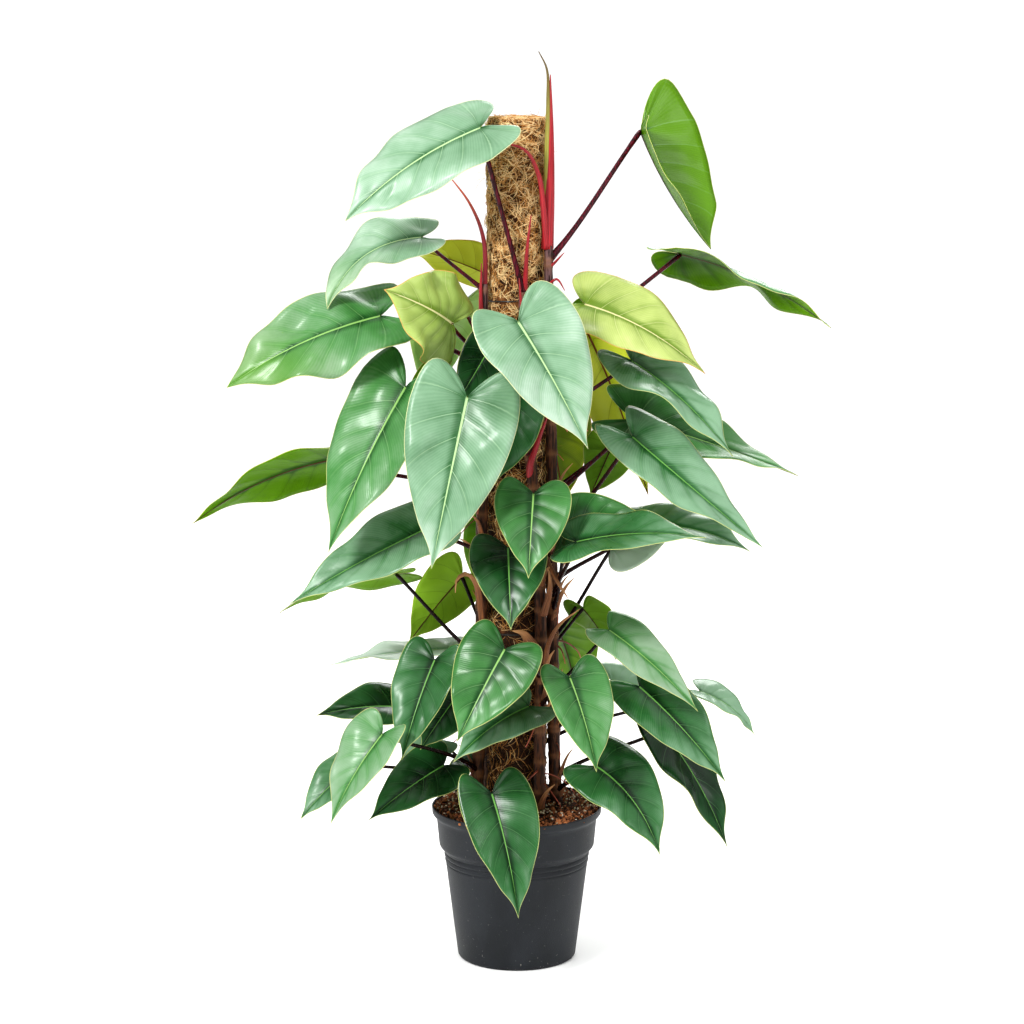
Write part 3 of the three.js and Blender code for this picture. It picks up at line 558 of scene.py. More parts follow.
def blade_axes(leaf, x):
    """The directions along, across and square to the blade at x blade lengths from the stalk: the midrib
    bows upwards by arch and sideways by sway, and the blade turns about it by twist."""
    along = unit(leaf["tip"] - leaf["attach"])
    look = direction(*leaf["face"])
    up = unit(look - dot(look, along) * along)
    side = np.cross(up, along)
    forward = np.maximum(x, 0)[..., None]
    slope = 4 * (1 - 2 * forward)
    tangent = unit(along + up * leaf["arch"] * slope + side * leaf["sway"] * slope)
    across = unit(np.cross(up, tangent))
    normal = np.cross(tangent, across)
    turn = math.radians(leaf["twist"]) * forward
    turned_across = across * np.cos(turn) + normal * np.sin(turn)
    turned_normal = normal * np.cos(turn) - across * np.sin(turn)
    return along, up, side, tangent, turned_across, turned_normal


def bend(leaf, x, y, lift):
    """The plan's point (x, y), raised by lift millimetres, as a point of the real blade: the bowed midrib,
    plus the way across folded up by the fold angle, plus a cup of curl times y squared."""
    along, up, side, tangent, across, normal = blade_axes(leaf, x)
    half = leaf["half"]
    forward = np.maximum(x, 0)[..., None]
    bow = 4 * forward * (1 - forward)
    ahead = along * forward + (up * leaf["arch"] + side * leaf["sway"]) * bow
    behind = np.minimum(x, 0)[..., None]
    lobes = leaf["lobes"] * np.where(y < 0, leaf["left_lobe"], 1)[..., None]
    back = tangent * lobes * behind + normal * leaf["lobe"] * (behind / 0.25) ** 2
    reach = (y * half)[..., None]
    fold = math.radians(leaf["fold"])
    rise = np.abs(reach) * math.sin(fold) + (leaf["curl"] * half * y**2 + lift)[..., None]
    flat = leaf["length"] * (ahead + back) + across * reach * math.cos(fold)
    return leaf["attach"] + flat + normal * rise


# %% The grid and the relief of a blade
LOBE_ROWS, SIDE_ROWS, COLUMNS = 15, 39, 10
QUILT = 2.8  # millimetres that a large blade swells between two side veins
BUCKLE, FRILL = 3.6, 2.4  # millimetres that it bulges at random, and that its margin frills
LARGE = 130  # width in millimetres of a large blade


def soft_step(value, low, high):
    """0 below low, 1 above high, and 3w^2 - 2w^3 between them."""
    w = np.clip((value - low) / (high - low), 0, 1)
    return w * w * (3 - 2 * w)


def blade_grid(leaf):
    """The flat plan as a grid: t runs along the outline, s from margin to margin with 0 on the midrib. The
    plan narrows before the tip. Returns t, s, the plan's x and y, and the distance from the margin."""
    t = np.concatenate([np.linspace(0, LOBE_SHARE, LOBE_ROWS, endpoint=False),
                        np.linspace(LOBE_SHARE, 1, SIDE_ROWS + 1)])
    half_steps = np.linspace(0, 1, COLUMNS + 1) ** 1.25
    s = np.concatenate([-half_steps[:0:-1], half_steps])
    x_edge, y_edge, x_rib = outline(t, leaf["full"])
    y_edge = y_edge * (1 - 0.4 * soft_step(x_edge, 0.74, 0.97))
    x = x_rib[:, None] + (x_edge - x_rib)[:, None] * np.abs(s)
    reach = np.hypot((x_edge - x_rib) * leaf["length"], y_edge * leaf["half"])[:, None]
    return t[:, None], s[None, :], x, y_edge[:, None] * s, (1 - np.abs(s)) * reach


def blade_relief(leaf, t, s, x, y):
    """The number of the side vein, which bends forward towards the margin, and the height of the blade:
    slow waves and a frill of the margin, |sin| swellings between the veins, and smooth random bulges."""
    span = np.abs(s)
    size = leaf["width"] / LARGE
    bend_of_vein = np.clip((t - 0.2) / 0.5, 0, 1) * 0.06
    vein = VEINS * (t - bend_of_vein * span**2) + 0.23 * (s < 0)
    phase = leaf["phase"] + 0.37 * (s < 0)
    fade = 4 * t * (1 - t)
    wave = leaf["wave"] * span**2 * fade * np.sin(2 * math.pi * (MARGIN_WAVES * t + phase))
    rough = size * leaf["calm"]
    fine_phase = 1.7 * phase + 0.4
    frill = FRILL * rough * span**4 * fade * np.sin(2 * math.pi * (FRILL_WAVES * t + fine_phase))
    quilt = np.sin(math.pi * span) ** 0.8 * np.abs(np.sin(math.pi * vein)) ** 0.8 * np.sqrt(1 - t)
    plan = np.stack([x * leaf["length"], y * leaf["half"], leaf["number"] * 90.0 + 0 * x], -1)
    bulge = BUCKLE * rough * soft_step(span, 0.05, 0.7) * fade * ripple(plan, 34, 17)
    return vein, wave + frill + QUILT * size * quilt + bulge


# %% Make the blades
RIDGE = 1.7  # millimetres that the midrib stands out below
SIDE = 0.5  # millimetres from the middle of the plate to its upper or lower side


def make_blade(leaf, nodes):
    """The bent plan as a closed plate, thinner at the margin, with a round rib under the midrib that runs
    out towards the tip. The points carry the numbers that the finish needs."""
    t, s, x, y, edge = blade_grid(leaf)
    vein, lift = blade_relief(leaf, t, s, x, y)
    points = bend(leaf, x, y, lift)
    ids = np.arange(points[..., 0].size).reshape(x.shape)
    ids[-1] = ids[-1, COLUMNS]
    ids[0] = ids[: LOBE_ROWS + 1, COLUMNS] = ids[0, COLUMNS]
    span, size, forward = np.abs(s), leaf["width"] / LARGE, np.clip(x, 0, 1)
    from_rib = np.hypot(np.minimum(x, 0) * leaf["length"], y * leaf["half"])
    ridge = RIDGE * bump(from_rib, 2.0) * (1 - forward) ** 0.7
    up = SIDE - 0.2 * span + 0 * x
    down = SIDE - 0.2 * span + ridge * size
    both, faces, sides = plate(points.reshape(-1, 3), grid_faces(ids), up.reshape(-1), down.reshape(-1))
    low_glow, high_glow = leaf["glow"], leaf["tip_glow"]
    values = {
        "vein": vein, "across": span + 0 * x, "rib": from_rib / (0.3 + 1.5 * (1 - forward) ** 0.9 * size),
        "edge": edge * MM,
        "glow": low_glow + (high_glow - low_glow) * soft_step(forward + 0.1 * s, 0.25, 0.95),
    }
    values = {key: np.tile(value.reshape(-1), 2) for key, value in values.items()}
    # The side turned to the front takes the leaf's lightness: partly its own tone and partly painted light
    # and shade.
    looks_back = abs(leaf["face"][0]) > 90
    values["shift"] = np.repeat([0 if looks_back else leaf["light"], leaf["light"]], x.size)
    slot = "leaf_" + leaf["tone"]
    finishes = [leaf_finishes[slot + "_upper"], leaf_finishes[slot + "_under"]]
    make_piece("blade_" + leaf["name"], both, faces, finishes, nodes, sides, values)


for leaf in leaves:
    make_blade(leaf, ["leaf_" + leaf["name"]])
for leaf in small_leaves:
    make_blade(leaf, [])
tell_triangles("blade")

# %% [markdown]
# ## Climbing stems
# Five stems climb the pole. Each is a smooth curve through a few points round the pole, with a swollen
# ring wherever a leaf grows or has fallen. Low down the stem is brown and woody, higher up it is a dull
# red.

# %% Curves through points
CURVE_STEPS = 24  # between two points of a curve


def smooth_curve(points):
    """A centripetal Catmull-Rom curve: between two points it is a cubic whose end slopes come from the
    neighbours, weighed by the square root of their distances."""
    points = np.array(points, float)
    points = np.concatenate([[2 * points[0] - points[1]], points, [2 * points[-1] - points[-2]]])
    p0, p1, p2, p3 = points[:-3, None], points[1:-2, None], points[2:-1, None], points[3:, None]
    gap = np.sqrt(np.linalg.norm(points[1:] - points[:-1], axis=1))[:, None, None]
    d0, d1, d2 = gap[:-2], gap[1:-1], gap[2:]
    leave = ((p1 - p0) / d0 - (p2 - p0) / (d0 + d1) + (p2 - p1) / d1) * d1
    arrive = ((p2 - p1) / d1 - (p3 - p1) / (d1 + d2) + (p3 - p2) / d2) * d1
    w = np.linspace(0, 1, CURVE_STEPS, endpoint=False)[None, :, None]
    spans = p1 + leave * w + (3 * (p2 - p1) - 2 * leave - arrive) * w**2
    spans = spans + (2 * (p1 - p2) + leave + arrive) * w**3
    return np.concatenate([spans.reshape(-1, 3), p2[-1]])


def even_steps(path, steps):
    """The path at equal distances along itself."""
    length = np.concatenate([[0], np.cumsum(np.linalg.norm(np.diff(path, axis=0), axis=1))])
    wanted = np.linspace(0, length[-1], steps + 1)
    return np.stack([np.interp(wanted, length, path[:, k]) for k in range(3)], -1)


def around(azimuth, radius, height):
    """The point at an azimuth round the pole, at a distance from its axis."""
    angle = np.radians(azimuth)
    return np.stack([radius * np.sin(angle), -radius * np.cos(angle), height + 0 * angle], -1)


stem_paths = {name: smooth_curve(around(*points.T)) for name, points in read_routes(STEMS)}


def stem_point(stem, height):
    """The point of a stem's middle line at a height."""
    path = stem_paths[stem]
    return np.array([np.interp(height, path[:, 2], path[:, k]) for k in range(3)])


# %% Stem and stalk finishes
def skin_finish(name, low, high, dark, pale, gloss, grain, relief):
    """Colour from low to high by the age stored on the piece, dark in streaks that run along it, and pale
    on the rings."""
    finish = Finish(name, {"Coat Weight": 0.03, "Coat Roughness": 0.2, "Specular IOR Level": 0.22})
    streaks = finish.noise(finish.place((1, 1, 0.14)), grain, 3)
    base = finish.value("age").mix(low, high)
    base = (streaks.rise(0.42, 0.56) * 0.85).mix(base, dark)
    base = finish.value("ring").mix(base, pale)
    finish.paint(base, gloss + streaks * 0.2, streaks + finish.value("ring") * 0.5, relief)
    return finish


stem_skin = skin_finish(
    "stem_skin", (104, 78, 78), (84, 48, 26), (26, 12, 8), (140, 96, 62), 0.45, 320, 0.0016)
stalk_skin = skin_finish(
    "stalk_skin", (88, 12, 30), (34, 14, 9), (18, 3, 7), (62, 28, 20), 0.16, 500, 0.0004)
print("finishes so far:", len(bpy.data.materials))

# %% Make the stems
STEM_STEPS, STEM_SIDES = 220, 16
STEM_RADIUS, STEM_TIP_RADIUS = 8.5, 6.0
RING_SPACING = 43  # millimetres between leaf scars


def make_stem(stem):
    """A tube whose radius shrinks with the cube of the way up, with a ring bulge at each leaf scar and a
    slight unevenness of the skin."""
    path = even_steps(stem_paths[stem], STEM_STEPS)
    u = np.linspace(0, 1, len(path))
    radius = STEM_RADIUS + (STEM_TIP_RADIUS - STEM_RADIUS) * u**3
    feet = [leaf["foot"] for leaf in all_leaves if leaf["stem"] == stem]
    scars = np.array(feet + list(np.arange(250, path[-1, 2] - 20, RING_SPACING)))
    off_scar = np.abs(path[:, 2:] - scars[None, :]).min(axis=1)
    bulge = bump(off_scar, 4)
    radius = radius + 0.9 * bulge - 0.5 * bump(off_scar - 5, 1.5)
    path = path + 0.8 * drift(path, 60, 0) * np.clip(10 * u, 0, 1)[:, None]
    points, faces, _ = tubes(path[None], radius[None], np.array([1.0, 0, 0]), STEM_SIDES)
    ring = np.repeat(np.pad(bulge, 1, mode="edge"), STEM_SIDES)
    points = points + 0.4 * ripple(points * [1, 1, 0.3], 7, 5)[:, None] * level(points)
    age = 1 - soft_step(points[:, 2], 700, 900)
    make_piece("cane_" + stem, points, faces, [stem_skin], ["stem_" + stem],
               values={"age": age, "ring": ring * 0.45})


for stem in stem_paths:
    make_stem(stem)
tell_triangles("cane")

# %% [markdown]
# ## Leaf stalks
# A stalk leaves its stem in a wide sheathing foot, rises, and turns over into the blade, where a slight
# swelling lets the real leaf turn to the light. All the stalks of one stem make one piece.

# %% Make the stalks
STALK_STEPS, STALK_SIDES = 24, 10


def stalk_path(leaf):
    """A cubic Bezier from the stem to the blade: it leaves the stem outwards and up, and arrives with at
    least 0.3 of its direction square to the blade."""
    foot = stem_point(leaf["stem"], leaf["foot"])
    normal = blade_axes(leaf, np.array(0.0))[5]
    arrive = unit(leaf["attach"] - foot)
    arrive = unit(arrive + normal * max(0, 0.3 - float(arrive @ normal)))
    end = leaf["attach"] - normal * 1.2
    reach = np.linalg.norm(end - foot)
    leave = unit(level(end - foot) * 0.75 + UP * leaf["rise"])
    arc = np.stack([foot, foot + leave * 0.3 * reach, end - arrive * 0.35 * reach, end])
    return bezier(arc, np.linspace(0, 1, STALK_STEPS + 1))


def make_stalks(stem):
    """Tubes from 5.2 mm radius at the foot to 2.7 mm, swollen to 3.2 mm just below the blade, times the
    root of the leaf's width over 110 mm."""
    grown = [leaf for leaf in all_leaves if leaf["stem"] == stem]
    paths = np.stack([stalk_path(leaf) for leaf in grown])
    sizes = np.array([leaf["width"] / 110 for leaf in grown])[:, None] ** 0.5
    u = np.linspace(0, 1, STALK_STEPS + 1)[None, :]
    radii = sizes * (2.9 + 2.3 * np.exp(-u * 9) + 0.5 * bump(u - 0.95, 0.04) - 0.2 * u)
    sideways = np.cross(UP, paths[:, -1] - paths[:, 0])[:, None]
    points, faces, along = tubes(paths, radii, sideways, STALK_SIDES)
    age = np.repeat([1 - soft_step(leaf["foot"], 480, 740) for leaf in grown], len(along) // len(grown))
    make_piece("stalks_" + stem, points, faces, [stalk_skin], ["stem_" + stem],
               values={"age": age, "ring": 0.6 * bump(along, 0.06)})


for stem in stem_paths:
    make_stalks(stem)
tell_triangles("stalks")

# %% [markdown]
# ## Sheaths, the rolled new leaf and air roots
# Each new leaf comes out of a red sheath. The sheath stays a while as a narrow crimson trough, then dries
# to brown paper at the leaf scar. Thin roots grow out of the stems too. A sheath's row in the tables has
# its half width and the points of its route, and chance adds one papery sheath for each low leaf.

# %% Sheath finishes
def sheath_finish(name, body, shade, tip_colour, gloss):
    """Body colour with long darker streaks, going to the tip colour along the piece."""
    finish = Finish(name, {"Coat Weight": 0.08, "Specular IOR Level": 0.45})
    along, shift = finish.value("along"), finish.value("shift")
    streaks = finish.noise(finish.vector(along * 3, finish.value("across") * 14, shift * 9), 1.0, 3)
    base = streaks.rise(0.35, 0.7).mix(shade, body)
    base = along.rise(0.45, 1.05).mix(base, tip_colour)
    finish.paint(base, gloss + streaks * 0.2, streaks, 0.0007)
    return finish


crimson = sheath_finish("sheath_crimson", (200, 40, 52), (112, 14, 26), (160, 42, 48), 0.25)
coral = sheath_finish("sheath_coral", (150, 34, 44), (110, 20, 34), (232, 112, 76), 0.3)
papery = sheath_finish("sheath_papery", (158, 100, 56), (84, 48, 28), (196, 146, 98), 0.65)
rolled = sheath_finish("rolled_leaf", (176, 168, 84), (120, 118, 44), (84, 60, 30), 0.3)
root_skin = sheath_finish("air_root", (150, 74, 52), (92, 46, 32), (206, 110, 88), 0.5)
print("finishes so far:", len(bpy.data.materials))


# %% Troughs along routes
TROUGH_COLUMNS = 8
TROUGH_HALF_THICKNESS = 0.5


def make_troughs(name, rows, opening, seed, finish, nodes=(), steps=26):
    """One piece of closed troughs that taper to a point, from rows of a half width and a route. Across, a
    trough is an arc of the given opening in degrees round its route; its half width shrinks as one minus a
    power of the way along."""
    parts = []
    total = 0
    dice = np.random.default_rng(seed)
    u = np.linspace(0, 1, steps + 1)[:, None]
    angle = np.radians(opening) * np.linspace(-1, 1, TROUGH_COLUMNS + 1)[None, :] / 2
    for width, route in rows:
        path = even_steps(smooth_curve(route), steps)
        tangent = unit(np.gradient(path, axis=0))
        outward = level(path)
        out = unit(outward - dot(outward, tangent) * tangent)
        side = np.cross(tangent, out)
        radius = float(width) * (1 - 0.97 * u**1.6) * (1 + 0.05 * dice.uniform(-1, 1))
        points = path[:, None] + radius[..., None] * (
            side[:, None] * np.sin(angle)[..., None] + out[:, None] * (np.cos(angle) - 0.6)[..., None]
        )
        ids = np.arange(points[..., 0].size).reshape(points.shape[:2])
        thick = np.full(ids.size, TROUGH_HALF_THICKNESS)
        both, faces, _ = plate(points.reshape(-1, 3), grid_faces(ids), thick, thick)
        along, across = (np.tile(grid.reshape(-1), 2) for grid in (u + 0 * angle, angle + 0 * u))
        parts.append((both, faces + total, along, across, np.full(len(both), dice.uniform(0, 1))))
        total += len(both)
    points, faces, along, across, shift = map(np.concatenate, zip(*parts))
    make_piece(name, points, faces, [finish], nodes,
               values={"along": along, "across": across, "shift": shift})


# %% Make the red sheaths and the new leaf
ROLL_NODE = "new_leaf_roll"
CRIMSON_ROUTES = """
8.6 45,-31,1004 47,-33,1090 47,-33,1165 45,-32,1238
4.4 42,-34,1004 37,-44,1060 30,-54,1105 12,-60,1138 -12,-61,1147 -33,-60,1148
3.6 10,-52,925 14,-58,1005 19,-60,1052
2.6 12,-56,870 6,-66,930 3,-68,968
4.4 -46,-27,860 -50,-34,930 -48,-36,985
4.6 20,-49,688 19,-60,711 28,-62,740 36,-64,764 44,-66,786
2.2 40,-33,940 46,-42,958 55,-46,964 65,-48,949
2.2 42,-31,975 53,-38,987 64,-42,1000
"""
CORAL_ROUTE = "3.6 -45,-27,935 -46,-32,1016 -63,-42,1064 -94,-52,1108"
make_troughs("crimson_sheaths", read_routes(CRIMSON_ROUTES), 230, 1, crimson, [ROLL_NODE])
make_troughs("coral_sheath", read_routes(CORAL_ROUTE), 230, 2, coral)

ROLL_ROUTE = [(41, -31, 1004), (41, -33, 1137), (42, -33, 1204), (40, -32, 1246), (29, -34, 1269)]
ROLL_STEPS, ROLL_SIDES = 40, 18
roll_path = even_steps(smooth_curve(ROLL_ROUTE), ROLL_STEPS)
roll_radius = 4.4 * (1 - np.linspace(0, 1, ROLL_STEPS + 1) ** 2.4) + 0.5
points, faces, along = tubes(roll_path[None], roll_radius[None], np.array([0, 1.0, 0]), ROLL_SIDES)
groove = np.tile(np.cos(np.arange(ROLL_SIDES) * 2 * math.pi / ROLL_SIDES - 0.8), ROLL_STEPS + 3)
points = points - (2.0 * np.clip(groove - 0.8, 0, 1))[:, None] * level(points)
make_piece("rolled_leaf", points, faces, [rolled], [ROLL_NODE],
           values={"along": along, "across": groove, "shift": 0 * along})
tell_triangles("crimson_sheaths")
tell_triangles("rolled_leaf")

# %% Make the dry sheaths and the air roots
PAPERY_ROUTES = """
8.5 -49,-20,485 -52,-46,520 -58,-60,550 -70,-66,562 -82,-66,555 -84,-68,536
7 -49,-22,605 -54,-48,632 -62,-62,642 -70,-66,636
12 30,-44,440 18,-62,465 8,-70,480 -6,-74,484
5.5 46,-40,590 56,-54,604 70,-62,610 84,-64,606
4.5 42,-44,580 46,-62,572 56,-72,552 70,-76,530
5 40,-44,430 44,-62,462 58,-74,492 86,-80,516
7 38,-46,500 46,-60,540 44,-66,572
8 -44,-34,380 -54,-54,420 -52,-64,452 -44,-66,470
"""
papery_rows = read_routes(PAPERY_ROUTES)
for leaf in all_leaves:
    if leaf["foot"] > 700:
        continue
    foot = stem_point(leaf["stem"], leaf["foot"] - 12)
    out = level(foot)
    side = np.cross(UP, out) * draw.uniform(-1, 1)
    rise = draw.uniform(28, 66)
    curl = draw.uniform(6, 26)
    papery_rows.append((draw.uniform(5, 8.5), [
        foot + out * 3,
        foot + out * 9 + UP * rise * 0.45,
        foot + out * (9 + curl * 0.5) + side * 5 + UP * rise * 0.8,
        foot + out * (9 + curl) + side * 12 + UP * rise,
    ]))
make_troughs("papery_sheaths", papery_rows, 150, 3, papery, steps=16)

ROOTS = 54
root_stems = draw.choice(list(stem_paths), ROOTS)
root_heights = draw.uniform(250, 900, ROOTS)
root_feet = np.stack([stem_point(stem, height) for stem, height in zip(root_stems, root_heights)])
root_out = level(root_feet)
root_side = np.cross(root_out, UP) * draw.uniform(-1, 1, (ROOTS, 1))
u = np.linspace(0, 1, 17)[None, :, None]
root_length = draw.uniform(25, 75, (ROOTS, 1, 1))
root_paths = root_feet[:, None] + root_length * (
    root_out[:, None] * 0.42 * u**0.7 + root_side[:, None] * 1.1 * u - np.array([0, 0, 0.55]) * u**2
)
root_paths = root_paths + 2.5 * u * drift(root_paths, 30, 60)
root_radii = draw.uniform(0.9, 1.6, (ROOTS, 1)) * (1 - 0.55 * u[:, :, 0])
points, faces, along = tubes(root_paths, root_radii, root_out[:, None], 8)
root_shift = np.repeat(draw.uniform(0, 1, ROOTS), len(along) // ROOTS)
make_piece("air_roots", points, faces, [root_skin],
           values={"along": along, "across": 0 * along, "shift": root_shift})
print("papery sheaths:", len(papery_rows), "air roots:", ROOTS)

# %% [markdown]
# ## The coir pole
# Coir is a felt of coconut fibres: coarse, curly and golden, with dark gaps. A felt painted on a cylinder
# looks flat from the side, so the sleeve is a lumpy core, dark with the painted shade of the deep gaps, and
# about thirteen thousand real strands lie on it, each a bent tube with three sides. Core and strands are
# painted lighter on the swellings of the braid and darker in its grooves, painted light and shade, and
# darker low down, partly wet fibres and partly painted shade.

# %% Coir finishes
def coir_finish(name, dark, gold, pale):
    """Dark brown to gold to straw by the tone stored on the strands and by fine noise."""
    finish = Finish(name, {"Specular IOR Level": 0.3})
    fibres = finish.noise(finish.place(), 1100, 2)
    tone = finish.value("strand") + fibres * 0.5 - 0.25
    base = tone.rise(0.05, 0.5).mix(dark, gold)
    base = tone.rise(0.5, 0.95).mix(base, pale)
    finish.paint(base, 0.7 + fibres * 0.2, fibres, 0.0012)
    return finish


# The core's colours are darker than the strands': painted shade of the deep gaps between the fibres.
coir_core = coir_finish("coir_core", (46, 26, 12), (106, 66, 34), (172, 120, 70))
coir_strand = coir_finish("coir_strand", (72, 38, 14), (210, 152, 86), (252, 222, 168))
print("finishes so far:", len(bpy.data.materials))

# %% Make the coir core
POLE_TOP = 1178.0
FLOOR_TOP = 3.3  # where the pole and the soil stand on the floor of the pot
CORE_RINGS, CORE_SIDES = 230, 96
COIR_RADIUS, FIBRE_RADIUS = 36.6, 38
CORDS, BRAID = 3, 33.0  # cords of the braid each way, and millimetres between their crossings


def braid_height(angle, height):
    """The swelling between two families of slanting cords, from 0 on a cord to 1 between them:
    the root of |sin(c + h)| times |sin(c - h)|, where c is the angle times the number of cords and h
    grows by pi for each crossing."""
    c, h = CORDS * angle, math.pi * height / BRAID
    return (np.abs(np.sin(c + h)) * np.abs(np.sin(c - h))) ** 0.5


def wet_and_shade_tone(height):
    """Fibres fade from dark brown near the soil to straw at the top: partly wet fibres, partly painted
    shade low on the pole.
    """
    return 0.5 * soft_step(height, 380, 960) - 0.26


rings = np.linspace(FLOOR_TOP, POLE_TOP - 4, CORE_RINGS)
wall = np.stack([np.full(CORE_RINGS, COIR_RADIUS), rings], -1)
cap = [(COIR_RADIUS - 1.5, POLE_TOP - 2), (COIR_RADIUS - 5, POLE_TOP), (COIR_RADIUS * 0.6, POLE_TOP + 1),
       (COIR_RADIUS * 0.3, POLE_TOP), (0, POLE_TOP)]
profile = np.concatenate([[(0, FLOOR_TOP), (COIR_RADIUS - 2, FLOOR_TOP)], wall, cap])
points, faces = turned(profile, CORE_SIDES)
angle = np.arctan2(points[:, 1], points[:, 0])
swell = braid_height(angle, points[:, 2])
off_axis = np.hypot(points[:, 0], points[:, 1]) > 1
lump = 3.2 * swell + 0.8 * ripple(points, 16, 11) + 0.5 * ripple(points, 5, 12)
points = points + (lump * off_axis)[:, None] * level(points)
# Painted light and shade: the core is lighter on the braid's swellings and darker in its grooves.
make_piece("coir_core", points, faces, [coir_core], ["pole_coir"],
           values={"strand": 0.7 * swell - 0.2 + 0.12 * ripple(points, 4, 13) + wet_and_shade_tone(points[:, 2])})
tell_triangles("coir_core")

# %% Make the coir strands
TIE_HEIGHTS = (472.0, 933.0)
STRAND_SEGMENTS = 4
SLANT, ON_SLANT = 0.84, 0.45  # heading of the cords in radians, and share of strands that follow them
TOP_BAND = 62  # millimetres below the top where the strands run round the pole
STAND_OFF = 0.7  # millimetres that a strand rises off the wall on average


def strand_lines(dice, count, low, high):
    """Lines on the unrolled wall, as millimetres along it and heights. Each has a start, a heading and a
    curvature, and is drawn in short equal steps."""
    each = (count, 1)  # one number for each strand
    length = dice.uniform(12, 40, each)
    start = dice.uniform(low, high, each)
    flat_heading = dice.normal(0, 0.25, each)
    slant = dice.choice([-SLANT, SLANT], each) + dice.normal(0, 0.35, each)
    anyway = dice.uniform(0, 2 * math.pi, each)
    heading = np.where(dice.uniform(0, 1, each) < ON_SLANT, slant, anyway)
    heading = np.where(start > POLE_TOP - TOP_BAND, flat_heading, heading)
    bearing = heading + dice.normal(0, 1.3, each) * np.linspace(0, 1, STRAND_SEGMENTS + 1)
    step = length / STRAND_SEGMENTS
    first = dice.uniform(0, 2 * math.pi * FIBRE_RADIUS, each)
    heights = np.clip(np.cumsum(np.sin(bearing) * step, axis=1) + start, 200, POLE_TOP + 1)
    return np.cumsum(np.cos(bearing) * step, axis=1) + first, heights


def make_strands(name, count, low, high, seed):
    """Three-sided tubes along the flat lines, wrapped round the pole over the braid's swelling. Each rises
    off the wall in the middle by a half sine. They lie flat under the ties."""
    dice = np.random.default_rng(seed)
    flat, heights = strand_lines(dice, count, low, high)
    wrap = flat / FIBRE_RADIUS
    off_tie = np.min(np.abs(heights[..., None] - np.array(TIE_HEIGHTS)), axis=-1)
    half_sine = np.sin(math.pi * np.linspace(0, 1, STRAND_SEGMENTS + 1)) ** 0.8
    loft = dice.exponential(STAND_OFF, (count, 1)) * half_sine
    loft = np.clip(loft + dice.uniform(0, 1.3, (count, 1)), 0, 4.5)
    swell = braid_height(wrap, heights)
    radius = COIR_RADIUS + 0.3 + (3.6 * swell + loft) * (1 - 0.85 * bump(off_tie, 5))
    radius = radius - 4 * soft_step(heights, POLE_TOP - 8, POLE_TOP + 1)
    radii = dice.uniform(0.3, 0.74, (count, 1)) * np.array([0.5, 1, 1, 1, 0.4])
    points, faces, along = tubes(polar(radius, wrap, heights), radii, polar(1, wrap, 0), 3)
    # Painted light and shade: strands on the braid's swellings are lighter, those in its grooves darker.
    tone = dice.uniform(-0.1, 0.75, count) + 2.3 * (swell.mean(axis=1) - 0.54) + wet_and_shade_tone(heights[:, 2])
    make_piece(name, points, faces, [coir_strand], ["pole_coir"],
               values={"strand": np.repeat(tone, len(along) // count)})


make_strands("coir_fibres_low", 3700, 205, 640, 21)
make_strands("coir_fibres_middle", 3700, 640, 920, 22)
make_strands("coir_fibres_high", 4900, 920, 1177, 23)
tell_triangles("coir_fibres")


# %% Make the tangled top and the stray fibres
TOP_STRANDS, STRAYS, LOOSE_STEPS = 800, 190, 9
STRAY_DEPTH = 930  # millimetres below the top where the lowest stray fibre starts


def wander(starts, headings, length, bend_size, seed):
    """Paths of short equal steps. The heading of each step is the first heading, turned more and more
    towards a random direction."""
    dice = np.random.default_rng(seed)
    count = len(starts)
    pull = dice.normal(0, bend_size, (count, 1, 3))
    swing = dice.normal(0, bend_size, (count, 1, 3))
    u = np.linspace(0, 1, LOOSE_STEPS)[None, :, None]
    course = unit(headings[:, None] + pull * u + swing * np.sin(math.pi * u))
    return starts[:, None] + np.cumsum(course, axis=1) * (length / LOOSE_STEPS)[:, None, None]


dice = np.random.default_rng(31)
spin = dice.uniform(0, 2 * math.pi, TOP_STRANDS)
reach = np.sqrt(dice.uniform(0, 1, TOP_STRANDS)) * 36
height = POLE_TOP + 2.2 * dice.uniform(0, 1, TOP_STRANDS)
top_starts = polar(reach, spin, height)
flat = unit(dice.normal(size=(TOP_STRANDS, 3)) * [1, 1, 0])
top_paths = wander(top_starts, flat, dice.uniform(14, 40, TOP_STRANDS), 0.9, 32)
top_paths[..., 2] = height[:, None] + 0.12 * (top_paths[..., 2] - height[:, None])
overhang = np.maximum(np.hypot(top_paths[..., 0], top_paths[..., 1]) / 38.5, 1)
top_paths[..., :2] /= overhang[..., None]
top_paths[..., 2] -= 30 * (overhang - 1)

spin = dice.uniform(0, 2 * math.pi, STRAYS)
height = POLE_TOP - 1 - STRAY_DEPTH * dice.uniform(0, 1, STRAYS) ** 1.8
stray_starts = polar(FIBRE_RADIUS, spin, height)
stray_paths = wander(stray_starts, polar(1, spin, 0.5), dice.uniform(8, 34, STRAYS), 1.5, 33)
paths = np.concatenate([top_paths, stray_paths])
radii = np.repeat([0.42, 0.2], [TOP_STRANDS, STRAYS])[:, None]
radii = radii * np.array([0.5, 1, 1, 1, 1, 1, 1, 0.8, 0.4])
points, faces, along = tubes(paths, radii, np.array([0.3, 0.2, 0.9]), 3)
tone = dice.uniform(0.25, 1, len(paths))
make_piece("coir_loose_fibres", points, faces, [coir_strand], ["pole_coir"],
           values={"strand": np.repeat(tone, len(along) // len(paths))})
tell_triangles("coir_loose")

# %% [markdown]
# ## The wire ties
# Two thin black wires hold the sleeve. Each is a ring that follows the felt, with its twisted ends to the
# right.

